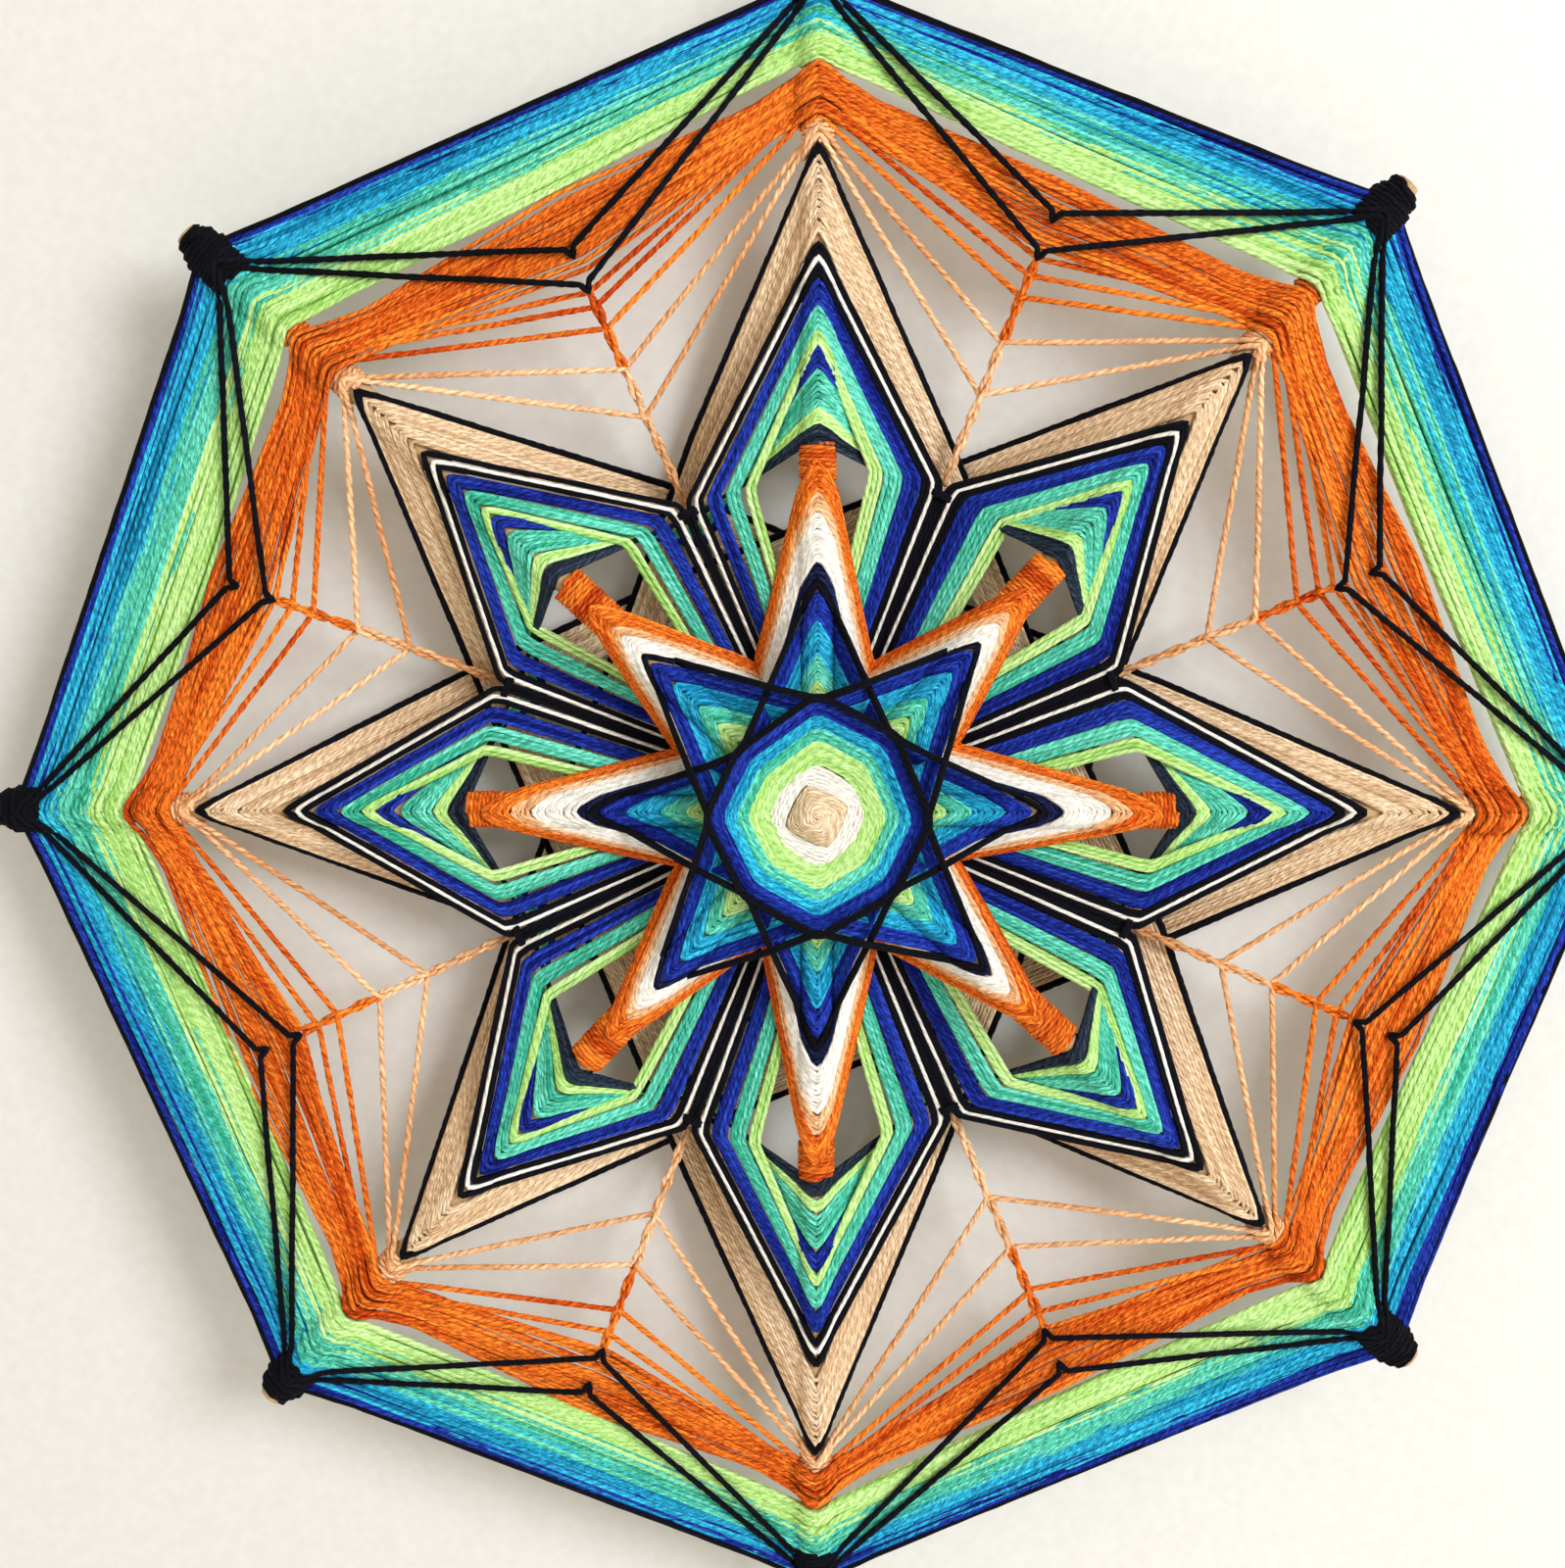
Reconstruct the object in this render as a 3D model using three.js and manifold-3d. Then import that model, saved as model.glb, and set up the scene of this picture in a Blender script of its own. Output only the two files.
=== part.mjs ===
// An ojo de dios: an eight-pointed wall ornament of coloured yarn, wound on two crosses of round sticks.
// Millimetres. +Z is up and +X is to the right, seen from the front. The front looks along -Y,
// and the plane y = 0 is the wall that the back of the windings rests on.
import * as THREE from "three";
import { mergeVertices } from "three/addons/utils/BufferGeometryUtils.js";
import Module from "manifold-3d";

const wasm = await Module();
wasm.setup();

// Driving dimensions
const STICK_DIAMETER = 6.35;
const STICK_SIDES = 16;
// How far a stick's cut end stands past the last row of the outer ring
const STICK_OVERHANG = 7.4;
const YARN_DIAMETER = 1.6;
const YARN_SIDES = 4;
const SEAT_GAP = 0.3;
const ROW_GAP = 0.5;
// The rear cross is upright. The front cross is turned from it by an eighth, less this angle.
const CROSS_SKEW = 2.2;
// From the wall to the axes of the rear cross
const REAR_CROSS_DEPTH = 26.5;
const SPOKES = 8;

// Sizes that follow from them
const YARN_RADIUS = YARN_DIAMETER / 2;
const STICK_RADIUS = STICK_DIAMETER / 2;
const FRONT_CROSS_DEPTH = REAR_CROSS_DEPTH + STICK_DIAMETER + SEAT_GAP;
const SEAT = STICK_RADIUS + SEAT_GAP + YARN_RADIUS;
const ROW_PITCH = YARN_DIAMETER + ROW_GAP;
// How far to each side of a stick's axis a row lies flat on its front
const OVER_STICK = STICK_RADIUS;
// Half the distance between the two cut ends of a row that starts and stops on one stick
const END_APART = YARN_DIAMETER * 0.75;

// How far out the windings' rows meet the spokes. Each winding starts a step past the one inside it,
// and rows that meet a spoke on the slant lie further apart along it than they do side by side.
const EYE_LOOPS = 2;
const EYE_FIRST = 2 * YARN_DIAMETER;
const EYE_STEP = 1.5 * ROW_PITCH;
const WHITE_FIRST = EYE_FIRST + EYE_LOOPS * EYE_STEP + 1.4 * ROW_PITCH;
const WHITE_STEP = 1.25 * ROW_PITCH;
const STAR_COLOURS = ["lime", "mint", "turquoise", "royal_blue", "black"];
const STAR_FIRST = WHITE_FIRST + WHITE_STEP + 1.7 * ROW_PITCH;
const STAR_STEP = 1.57 * ROW_PITCH;
const STAR_LAST = STAR_FIRST + STAR_STEP * (STAR_COLOURS.length - 1);
const STAR_TIP_BASE = 8.6;
const STAR_TIP_RATIO = 1.69;
const SPIKE_COLOURS = ["navy", "white", "peach", "orange"];
const SPIKE_FIRST = STAR_TIP_BASE + STAR_LAST * STAR_TIP_RATIO + 4.4 * ROW_PITCH;
const SPIKE_STEP = 3.8 * ROW_PITCH;
const SPIKE_LAST = SPIKE_FIRST + SPIKE_STEP * (SPIKE_COLOURS.length - 1);
const CHEVRON_COLOURS = ["slate", "lime", "mint", "royal_blue"];
const CHEVRON_FIRST = SPIKE_LAST + 2.35 * ROW_PITCH;
const CHEVRON_STEP = 2.43 * ROW_PITCH;
const CHEVRON_LAST = CHEVRON_FIRST + CHEVRON_STEP * (CHEVRON_COLOURS.length - 1);
const PETAL_ROWS = ["lime", "mint", "royal_blue", "black_inside", "white", "black_outside"];
const PETAL_FIRST = CHEVRON_LAST + 2.4 * ROW_PITCH;
const PETAL_STEP = 2.27 * ROW_PITCH;
const PETAL_LAST = PETAL_FIRST + PETAL_STEP * (PETAL_ROWS.length - 1);
const TAN_FIRST = PETAL_LAST + 7.4 * ROW_PITCH;
const TAN_STEP = 2.67 * ROW_PITCH;
const WEB_LOOPS = 2;
const WEB_PEACH_FIRST = TAN_FIRST + TAN_STEP + 2.5 * ROW_PITCH;
const WEB_PEACH_STEP = 2.05 * ROW_PITCH;
const WEB_ORANGE_FIRST = WEB_PEACH_FIRST + WEB_LOOPS * WEB_PEACH_STEP;
const WEB_ORANGE_STEP = 1.4 * ROW_PITCH;
const RING_STEP = 1.12 * ROW_PITCH;
const BAND_LOOPS = 2;
const BAND_FIRST = WEB_ORANGE_FIRST + WEB_LOOPS * WEB_ORANGE_STEP + 0.55 * ROW_PITCH;
const RING_LOOPS = { lime: 2, mint: 2, turquoise: 2, royal_blue: 2, black: 1 };
const RING_FIRST = BAND_FIRST + BAND_LOOPS * RING_STEP;
const RING_ROWS = Object.values(RING_LOOPS).reduce((sum, loops) => sum + loops, 0);
const RING_LAST = RING_FIRST + RING_ROWS * RING_STEP;
const STICK_REACH = RING_LAST + STICK_OVERHANG;

const YARN_COLOURS = {
  black: 0x06081c,
  slate: 0x1c2738,
  navy: 0x101640,
  royal_blue: 0x2430a0,
  turquoise: 0x1594cb,
  mint: 0x57d2b2,
  lime: 0xaef075,
  white: 0xf5f1e8,
  tan: 0xd2a77c,
  peach: 0xfbb277,
  orange: 0xf4691a,
};
const WOOD_COLOUR = 0xd8b382;
const COMPASS = ["north", "northeast", "east", "southeast", "south", "southwest", "west", "northwest"];

const part = new THREE.Group();
part.name = "ojo_de_dios";

function addPiece(name, geometry, colour, roughness) {
  const material = new THREE.MeshStandardMaterial({ color: colour, roughness });
  const mesh = new THREE.Mesh(geometry, material);
  mesh.name = name;
  part.add(mesh);
}

// Spokes are counted clockwise from the top, and wrap round.
function spokeAngle(spoke) {
  const turn = spoke % 2 === 0 ? 0 : -CROSS_SKEW;
  return THREE.MathUtils.degToRad((360 / SPOKES) * spoke + turn);
}

function axisDepth(spoke) {
  return spoke % 2 === 0 ? REAR_CROSS_DEPTH : FRONT_CROSS_DEPTH;
}

// A row's depth where it lies on the front of a spoke
function frontDepth(spoke) {
  return axisDepth(spoke) + SEAT;
}

// A point so far out along a direction, so far to its clockwise side, and so far from the wall
function place(angle, out, side, depth) {
  const x = out * Math.sin(angle) + side * Math.cos(angle);
  const z = out * Math.cos(angle) - side * Math.sin(angle);
  return new THREE.Vector3(x, -depth, z);
}

function onSpoke(spoke, out, side, depth) {
  return place(spokeAngle(spoke), out, side, depth);
}

// The same, from the middle line between a spoke and the next
function inSector(spoke, out, side, depth) {
  return place((spokeAngle(spoke) + spokeAngle(spoke + 1)) / 2, out, side, depth);
}

// A closed tube along a line of points, mitred where it bends
function tubeGeometry(points, radius, sides) {
  const last = points.length - 1;
  const steps = [];
  for (let i = 0; i < last; i += 1) {
    steps.push(points[i + 1].clone().sub(points[i]).normalize());
  }
  const positions = [];
  let heading = steps[0].clone();
  let across = new THREE.Vector3(0, 1, 0).cross(heading).normalize();
  for (let i = 0; i <= last; i += 1) {
    const into = steps[Math.max(i - 1, 0)];
    const outOf = steps[Math.min(i, last - 1)];
    const bisector = into.clone().add(outOf).normalize();
    const turn = new THREE.Quaternion().setFromUnitVectors(heading, bisector);
    across.applyQuaternion(turn).normalize();
    heading = bisector;
    const upward = heading.clone().cross(across);
    const hinge = into.clone().cross(outOf);
    const bent = hinge.length() > 1e-6;
    const inBend = bent ? hinge.normalize().cross(heading) : upward;
    const stretch = bent ? Math.min(1 / Math.max(into.dot(heading), 0.1), 1.4) - 1 : 0;
    for (let side = 0; side < sides; side += 1) {
      const angle = (2 * Math.PI * (side + 0.5)) / sides;
      const offset = across.clone().multiplyScalar(radius * Math.cos(angle));
      offset.addScaledVector(upward, radius * Math.sin(angle));
      offset.addScaledVector(inBend, offset.dot(inBend) * stretch);
      positions.push(...points[i].clone().add(offset).toArray());
    }
  }
  const index = [];
  for (let i = 0; i < last; i += 1) {
    for (let side = 0; side < sides; side += 1) {
      const a = i * sides + side;
      const b = i * sides + ((side + 1) % sides);
      index.push(a, b, b + sides, a, b + sides, a + sides);
    }
  }
  for (let side = 1; side < sides - 1; side += 1) {
    index.push(0, side + 1, side);
    index.push(last * sides, last * sides + side, last * sides + side + 1);
  }
  const geometry = new THREE.BufferGeometry();
  geometry.setAttribute("position", new THREE.Float32BufferAttribute(positions, 3));
  geometry.setIndex(index);
  return geometry;
}

// The least gap between a tube's turns, measured on points set close along its middle line
const MEASURE_STEP = 2;
const MEASURE_SKIP = 10;

function leastSelfGap(points, diameter) {
  const marks = [];
  let travelled = 0;
  for (let i = 0; i + 1 < points.length; i += 1) {
    const length = points[i].distanceTo(points[i + 1]);
    const count = Math.max(1, Math.round(length / MEASURE_STEP));
    for (let j = 0; j < count; j += 1) {
      const spot = points[i].clone().lerp(points[i + 1], j / count);
      marks.push({ spot, along: travelled + (length * j) / count });
    }
    travelled += length;
  }
  let least = Infinity;
  for (let i = 0; i < marks.length; i += 1) {
    for (let j = i + 1; j < marks.length; j += 1) {
      if (marks[j].along - marks[i].along > MEASURE_SKIP) {
        least = Math.min(least, marks[i].spot.distanceTo(marks[j].spot));
      }
    }
  }
  return least - diameter;
}

function addWinding(name, colour, points) {
  console.log(`${name}: least gap to itself ${leastSelfGap(points, YARN_DIAMETER).toFixed(2)} mm`);
  addPiece(name, tubeGeometry(points, YARN_RADIUS, YARN_SIDES), YARN_COLOURS[colour], 0.95);
}

// Closed geometry to a solid that can be cut, and back
function solidOf(geometry) {
  geometry.deleteAttribute("normal");
  geometry.deleteAttribute("uv");
  const merged = mergeVertices(geometry);
  const vertProperties = Float32Array.from(merged.attributes.position.array);
  const triVerts = Uint32Array.from(merged.index.array);
  return new wasm.Manifold(new wasm.Mesh({ numProp: 3, vertProperties, triVerts }));
}

function geometryOf(solid) {
  const mesh = solid.getMesh();
  const geometry = new THREE.BufferGeometry();
  geometry.setAttribute("position", new THREE.Float32BufferAttribute(mesh.vertProperties, 3));
  geometry.setIndex(Array.from(mesh.triVerts));
  return geometry;
}

// Sticks: each cross is two round sticks, halved into each other at the hub
const NOTCH_WIDTH = STICK_DIAMETER + 2 * SEAT_GAP;

function stickGeometry(spoke, notchedInFront) {
  const round = new THREE.CylinderGeometry(STICK_RADIUS, STICK_RADIUS, 2 * STICK_REACH, STICK_SIDES);
  const notch = new THREE.BoxGeometry(2 * STICK_DIAMETER, STICK_DIAMETER, NOTCH_WIDTH);
  const toward = notchedInFront ? -1 : 1;
  notch.translate(0, toward * (STICK_RADIUS - SEAT_GAP / 2), 0);
  const halved = geometryOf(solidOf(round.rotateX(Math.PI / 2)).subtract(solidOf(notch)));
  return halved.rotateY(spokeAngle(spoke)).translate(0, -axisDepth(spoke), 0);
}

addPiece("stick_upright", stickGeometry(0, true), WOOD_COLOUR, 0.7);
addPiece("stick_level", stickGeometry(2, false), WOOD_COLOUR, 0.7);
addPiece("stick_rising", stickGeometry(1, true), WOOD_COLOUR, 0.7);
addPiece("stick_falling", stickGeometry(3, false), WOOD_COLOUR, 0.7);

// A row that goes over a spoke's front and starts and stops on the top spoke
function rowRound(out, betweenSpokes) {
  const points = [onSpoke(0, out, END_APART, frontDepth(0))];
  for (let spoke = 0; spoke < SPOKES; spoke += 1) {
    const next = spoke + 1;
    points.push(onSpoke(spoke, out, OVER_STICK, frontDepth(spoke)));
    points.push(...betweenSpokes(spoke));
    points.push(onSpoke(next, out, -OVER_STICK, frontDepth(next)));
  }
  points.push(onSpoke(0, out, -END_APART, frontDepth(0)));
  return points;
}

// Rows wound round the spokes as a spiral, straight from spoke to spoke or drawn in between them.
// It stops a spoke short of the top one, where the next winding starts.
// Rows that bend sharply lie flat on a stick.
function spiral({ from, step, loops, lift = 0, flat = false, drawnIn = null }) {
  const points = [];
  const spans = loops * SPOKES - 1;
  const sides = flat ? [-OVER_STICK, OVER_STICK] : [0];
  for (let span = 0; span <= spans; span += 1) {
    const loop = span / SPOKES;
    for (const side of sides) {
      points.push(onSpoke(span, from + step * loop, side, frontDepth(span) + lift));
    }
    if (drawnIn && span < spans) {
      points.push(inSector(span, drawnIn.from + drawnIn.step * loop, 0, drawnIn.depth + lift));
    }
  }
  return points;
}

// The front star: a square eye on the front cross, octagons, then rows to every third spoke
const STAR_STRIDE = 3;
const STAR_LEVELS = 4;
// The share of a line, from its tip, over which it climbs to its level
const STAR_RISE = 0.15;

function eyeRow(first, step, loops, stride) {
  const points = [];
  const corners = SPOKES / stride;
  for (let corner = 0; corner <= loops * corners; corner += 1) {
    points.push(onSpoke(1 + corner * stride, first + (step * corner) / corners, 0, frontDepth(1)));
  }
  return points;
}

function starRow(crossing) {
  const tip = STAR_TIP_BASE + crossing * STAR_TIP_RATIO;
  const points = [onSpoke(0, tip, END_APART, frontDepth(0))];
  for (let line = 0; line < SPOKES; line += 1) {
    const start = line * STAR_STRIDE;
    const end = start + STAR_STRIDE;
    const depth = frontDepth(1) + (start % STAR_LEVELS) * ROW_PITCH;
    const leave = onSpoke(start, tip, OVER_STICK, frontDepth(start));
    const near = onSpoke(start + 1, crossing, 0, depth);
    const far = onSpoke(start + 2, crossing, 0, depth);
    const arrive = onSpoke(end, tip, -OVER_STICK, frontDepth(end));
    points.push(leave, leave.clone().lerp(near, STAR_RISE).setY(-depth), near);
    points.push(far, arrive.clone().lerp(far, STAR_RISE).setY(-depth), arrive);
  }
  points.push(onSpoke(0, tip, -END_APART, frontDepth(0)));
  return points;
}

addWinding("star_tan", "tan", eyeRow(EYE_FIRST, EYE_STEP, EYE_LOOPS, 2));
addWinding("star_white", "white", eyeRow(WHITE_FIRST, WHITE_STEP, 1, 1));
STAR_COLOURS.forEach((colour, row) => {
  addWinding(`star_${colour}`, colour, starRow(STAR_FIRST + row * STAR_STEP));
});

// The spikes: rows over each spoke that run back down its sides and turn behind the star
const SPIKE_TURN_OUT = 34;
const SPIKE_FIRST_DEPTH = REAR_CROSS_DEPTH - 2;
const SPIKE_SINK = 1.05 * ROW_PITCH;

SPIKE_COLOURS.forEach((colour, row) => {
  const turn = (spoke) => [inSector(spoke, SPIKE_TURN_OUT, 0, SPIKE_FIRST_DEPTH - row * SPIKE_SINK)];
  addWinding(`spike_${colour}`, colour, rowRound(SPIKE_FIRST + row * SPIKE_STEP, turn));
});

// The petals' outer rows: out over the spoke, in to a corner beside the next petal, then back to the hub
const PETAL_CORNER_OUT = 90;
const PETAL_CORNER_STEP = 0.8;
const PETAL_CORNER_DEPTH = REAR_CROSS_DEPTH - 4;
const PETAL_FAN = 1.31 * ROW_PITCH;
const PETAL_TIE_ROOM = 1.1 * ROW_PITCH;
const PETAL_HUB_OUT = 24;
const PETAL_HUB_DEPTH = YARN_RADIUS;
const PAIR_APART = END_APART;

// Rows are counted here from the outermost, which runs along the middle line beside its neighbour's.
function petalCorner(inward) {
  const side = PAIR_APART + inward * PETAL_FAN + (inward > 0 ? PETAL_TIE_ROOM : 0);
  return { out: PETAL_CORNER_OUT - inward * PETAL_CORNER_STEP, side };
}

PETAL_ROWS.forEach((name, row) => {
  const inward = PETAL_ROWS.length - 1 - row;
  const corner = petalCorner(inward);
  const hubDepth = PETAL_HUB_DEPTH + inward * PETAL_FAN;
  const way = (spoke) => [
    inSector(spoke, corner.out, -corner.side, PETAL_CORNER_DEPTH),
    inSector(spoke, PETAL_HUB_OUT, -PAIR_APART, hubDepth),
    inSector(spoke, PETAL_HUB_OUT, PAIR_APART, hubDepth),
    inSector(spoke, corner.out, corner.side, PETAL_CORNER_DEPTH),
  ];
  const colour = name.startsWith("black") ? "black" : name;
  addWinding(`petal_${name}`, colour, rowRound(PETAL_FIRST + row * PETAL_STEP, way));
});

// The petals' inner chevrons: rows that dive behind the petals' corners on their way to the next spoke
const CHEVRON_BEND_SIDE = petalCorner(PETAL_ROWS.length - 1).side + 1.2 * ROW_PITCH;
const CHEVRON_BEND_OUT = PETAL_CORNER_OUT - 17.5;
const CHEVRON_BEND_DEPTH = REAR_CROSS_DEPTH - 6.4;
const CHEVRON_TURN_OUT = PETAL_CORNER_OUT - 21;
const CHEVRON_TURN_DEPTH = REAR_CROSS_DEPTH - 13.6;
const CHEVRON_TURN_RISE = 0.8;
const CHEVRON_APART = 1.53 * ROW_PITCH;

CHEVRON_COLOURS.forEach((colour, row) => {
  const bendOut = CHEVRON_BEND_OUT + row * CHEVRON_APART;
  const turnOut = CHEVRON_TURN_OUT + row * CHEVRON_APART;
  const turnDepth = CHEVRON_TURN_DEPTH + row * CHEVRON_TURN_RISE;
  const way = (spoke) => [
    inSector(spoke, bendOut, -CHEVRON_BEND_SIDE, CHEVRON_BEND_DEPTH),
    inSector(spoke, turnOut, 0, turnDepth),
    inSector(spoke, bendOut, CHEVRON_BEND_SIDE, CHEVRON_BEND_DEPTH),
  ];
  addWinding(`chevron_${colour}`, colour, rowRound(CHEVRON_FIRST + row * CHEVRON_STEP, way));
});

// The tan star behind the petals, to every third spoke, and its black outline
const TAN_LEVEL_DEPTH = REAR_CROSS_DEPTH - 16;
const TAN_FLAT_FROM = 0.26;

function backStar(tip) {
  const points = [onSpoke(0, tip, END_APART, frontDepth(0))];
  for (let line = 0; line < SPOKES; line += 1) {
    const start = line * STAR_STRIDE;
    const end = start + STAR_STRIDE;
    const depth = TAN_LEVEL_DEPTH - (start % STAR_LEVELS) * ROW_PITCH;
    const from = onSpoke(start, tip, OVER_STICK, frontDepth(start));
    const to = onSpoke(end, tip, -OVER_STICK, frontDepth(end));
    points.push(from);
    for (const along of [TAN_FLAT_FROM, 1 - TAN_FLAT_FROM]) {
      points.push(from.clone().lerp(to, along).setY(-depth));
    }
    points.push(to);
  }
  points.push(onSpoke(0, tip, -END_APART, frontDepth(0)));
  return points;
}

addWinding("tan_star", "tan", backStar(TAN_FIRST));
addWinding("tan_star_outline", "black", backStar(TAN_FIRST + TAN_STEP));

// The open web: rows drawn in to the middle line, where each hooks on the one before it
const SPAN_DEPTH = (frontDepth(0) + frontDepth(1)) / 2;
const WEB_PEACH_DRAWN = { from: PETAL_CORNER_OUT + 9, step: 16, depth: SPAN_DEPTH };
const WEB_ORANGE_DRAWN = { from: PETAL_CORNER_OUT + 41, step: 12, depth: SPAN_DEPTH };

function webRows(from, step, drawnIn) {
  return spiral({ from, step, loops: WEB_LOOPS, flat: true, drawnIn });
}

addWinding("web_peach", "peach", webRows(WEB_PEACH_FIRST, WEB_PEACH_STEP, WEB_PEACH_DRAWN));
addWinding("web_orange", "orange", webRows(WEB_ORANGE_FIRST, WEB_ORANGE_STEP, WEB_ORANGE_DRAWN));

// The close orange band and the outer ring
addWinding("band_orange", "orange", spiral({ from: BAND_FIRST, step: RING_STEP, loops: BAND_LOOPS }));
let ringRadius = RING_FIRST;
for (const [colour, loops] of Object.entries(RING_LOOPS)) {
  addWinding(`ring_${colour}`, colour, spiral({ from: ringRadius, step: RING_STEP, loops }));
  ringRadius += RING_STEP * loops;
}

// Two single black rows that lie on the ring and hook in between the spokes
const HOOK_ROWS = {
  near: { from: RING_LAST - 6.5, drawn: PETAL_CORNER_OUT + 65 },
  far: { from: RING_LAST - 1.9, drawn: PETAL_CORNER_OUT + 78 },
};
for (const [name, row] of Object.entries(HOOK_ROWS)) {
  const drawnIn = { from: row.drawn, step: 0, depth: SPAN_DEPTH + ROW_GAP };
  const points = spiral({ from: row.from, step: 0, loops: 1, lift: ROW_PITCH, drawnIn });
  addWinding(`hook_row_${name}`, "black", points);
}

// A short black tie round the pair of strands where neighbouring petals meet
const TIE_WALL = 0.7;
const TIE_LENGTH = 3.2;
const TIE_ARC_STEPS = 5;
// How far along the strands the tie lies, in from the corner
const TIE_INWARD = 6;

function traceRoundPair(path, radius) {
  path.absarc(PAIR_APART, 0, radius, -Math.PI / 2, Math.PI / 2);
  path.absarc(-PAIR_APART, 0, radius, Math.PI / 2, 1.5 * Math.PI);
  return path;
}

function tieGeometry() {
  const inner = YARN_RADIUS + SEAT_GAP;
  const outline = traceRoundPair(new THREE.Shape(), inner + TIE_WALL);
  outline.holes.push(traceRoundPair(new THREE.Path(), inner));
  const settings = { depth: TIE_LENGTH, bevelEnabled: false, curveSegments: TIE_ARC_STEPS };
  return new THREE.ExtrudeGeometry(outline, settings).translate(0, 0, -TIE_LENGTH / 2);
}

// Black yarn wound close round the last of each stick, drawn as a sleeve with a swollen middle
const TIP_WRAP_LENGTH = 4.6;
const TIP_BARE_END = 0.9;
const TIP_SWELL = 0.6;
const TIP_SIDES = 12;

function tipWrapGeometry() {
  const inner = STICK_RADIUS + SEAT_GAP;
  const outer = inner + YARN_DIAMETER - TIP_SWELL;
  const half = TIP_WRAP_LENGTH / 2;
  const profile = [
    [inner, -half],
    [outer, -half],
    [outer + TIP_SWELL, 0],
    [outer, half],
    [inner, half],
    [inner, -half],
  ];
  const points = profile.map(([across, along]) => new THREE.Vector2(across, along));
  return new THREE.LatheGeometry(points, TIP_SIDES);
}

// A piece made along its own Z axis, laid along a line with its flat side to the front
function layAlong(geometry, middle, along) {
  const sideways = along.clone().cross(new THREE.Vector3(0, 1, 0)).normalize();
  const facing = along.clone().cross(sideways);
  const frame = new THREE.Matrix4().makeBasis(sideways, facing, along);
  return geometry.applyMatrix4(frame.setPosition(middle));
}

for (let spoke = 0; spoke < SPOKES; spoke += 1) {
  const corner = inSector(spoke, PETAL_CORNER_OUT, 0, PETAL_CORNER_DEPTH);
  const hub = inSector(spoke, PETAL_HUB_OUT, 0, PETAL_HUB_DEPTH);
  const along = corner.clone().sub(hub).normalize();
  const middle = corner.clone().addScaledVector(along, -TIE_INWARD);
  const tie = layAlong(tieGeometry(), middle, along);
  addPiece(`petal_tie_${spoke + 1}`, tie, YARN_COLOURS.black, 0.95);

  const outward = place(spokeAngle(spoke), 1, 0, 0);
  const wrapOut = STICK_REACH - TIP_BARE_END - TIP_WRAP_LENGTH / 2;
  const sleeve = tipWrapGeometry().rotateX(Math.PI / 2);
  const wrap = layAlong(sleeve, onSpoke(spoke, wrapOut, 0, axisDepth(spoke)), outward);
  addPiece(`tip_wrap_${COMPASS[spoke]}`, wrap, YARN_COLOURS.black, 0.95);
}

export default part;
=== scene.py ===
import math
import random

import bpy
import numpy as np
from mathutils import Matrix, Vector


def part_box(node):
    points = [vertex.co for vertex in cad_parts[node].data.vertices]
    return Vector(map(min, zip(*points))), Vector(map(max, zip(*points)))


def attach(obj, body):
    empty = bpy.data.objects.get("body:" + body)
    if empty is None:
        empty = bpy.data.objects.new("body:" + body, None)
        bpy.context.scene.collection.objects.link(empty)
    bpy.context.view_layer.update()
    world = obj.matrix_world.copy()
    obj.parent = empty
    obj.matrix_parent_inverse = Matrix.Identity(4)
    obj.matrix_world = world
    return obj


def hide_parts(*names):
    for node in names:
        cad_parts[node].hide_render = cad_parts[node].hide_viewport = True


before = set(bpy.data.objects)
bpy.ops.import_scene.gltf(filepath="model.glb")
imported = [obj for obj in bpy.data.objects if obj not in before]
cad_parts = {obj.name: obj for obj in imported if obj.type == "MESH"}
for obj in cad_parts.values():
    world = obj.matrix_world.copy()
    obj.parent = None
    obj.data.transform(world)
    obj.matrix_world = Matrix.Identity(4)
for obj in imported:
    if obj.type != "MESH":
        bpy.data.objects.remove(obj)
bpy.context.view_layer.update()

bl_info = {
    "name": "Ojo de dios",
    "version": (1, 0, 0),
    "blender": (4, 5, 0),
    "location": "View3D > Sidebar > Ojo de dios",
    "description": "Winds the yarn of an eight-spoked ojo de dios and sets it on a pale stage",
    "category": "Object",
}

# Lengths below are in millimetres unless a comment says otherwise. Blender works in metres.
MM = 0.001
SPOKES = 8
SPOKE_DEGREES = 360 / SPOKES


def depth_of(node):
    """How far the middle of a node stands in front of the wall plane."""
    low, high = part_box(node)
    return -(low[1] + high[1]) / 2 / MM


STICK_LOW, STICK_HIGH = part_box("stick_upright")
STICK_RADIUS = (STICK_HIGH[0] - STICK_LOW[0]) / 2 / MM
STICK_REACH = (STICK_HIGH[2] - STICK_LOW[2]) / 2 / MM
REAR_DEPTH = depth_of("stick_upright")
FRONT_DEPTH = depth_of("stick_rising")

# The winding is by hand, so no two spokes or gaps are alike.
# Spokes run clockwise from the top one, and each gap follows its spoke.
SPOKE_REACH = (1.028, 0.967, 1.014, 0.977, 1.072, 0.985, 0.988, 0.965)
GAP_REACH = (1.005, 0.965, 1.01, 1.018, 1.045, 0.99, 1.0, 0.963)

# Where each colour's rows cross their spoke: first row, step to the next, number of rows.
EYE_ROWS = (0.5, 0.82, 10)
WHITE_EYE_ROWS = (8.5, 0.97, 6)
STAR_ROWS = {
    "lime": (13.4, 0.72, 9),
    "mint": (19.9, 0.6, 6),
    "turquoise": (23.4, 0.5, 7),
    "royal_blue": (26.9, 0.6, 6),
    "black": (31.0, 0.75, 2),
}
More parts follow.
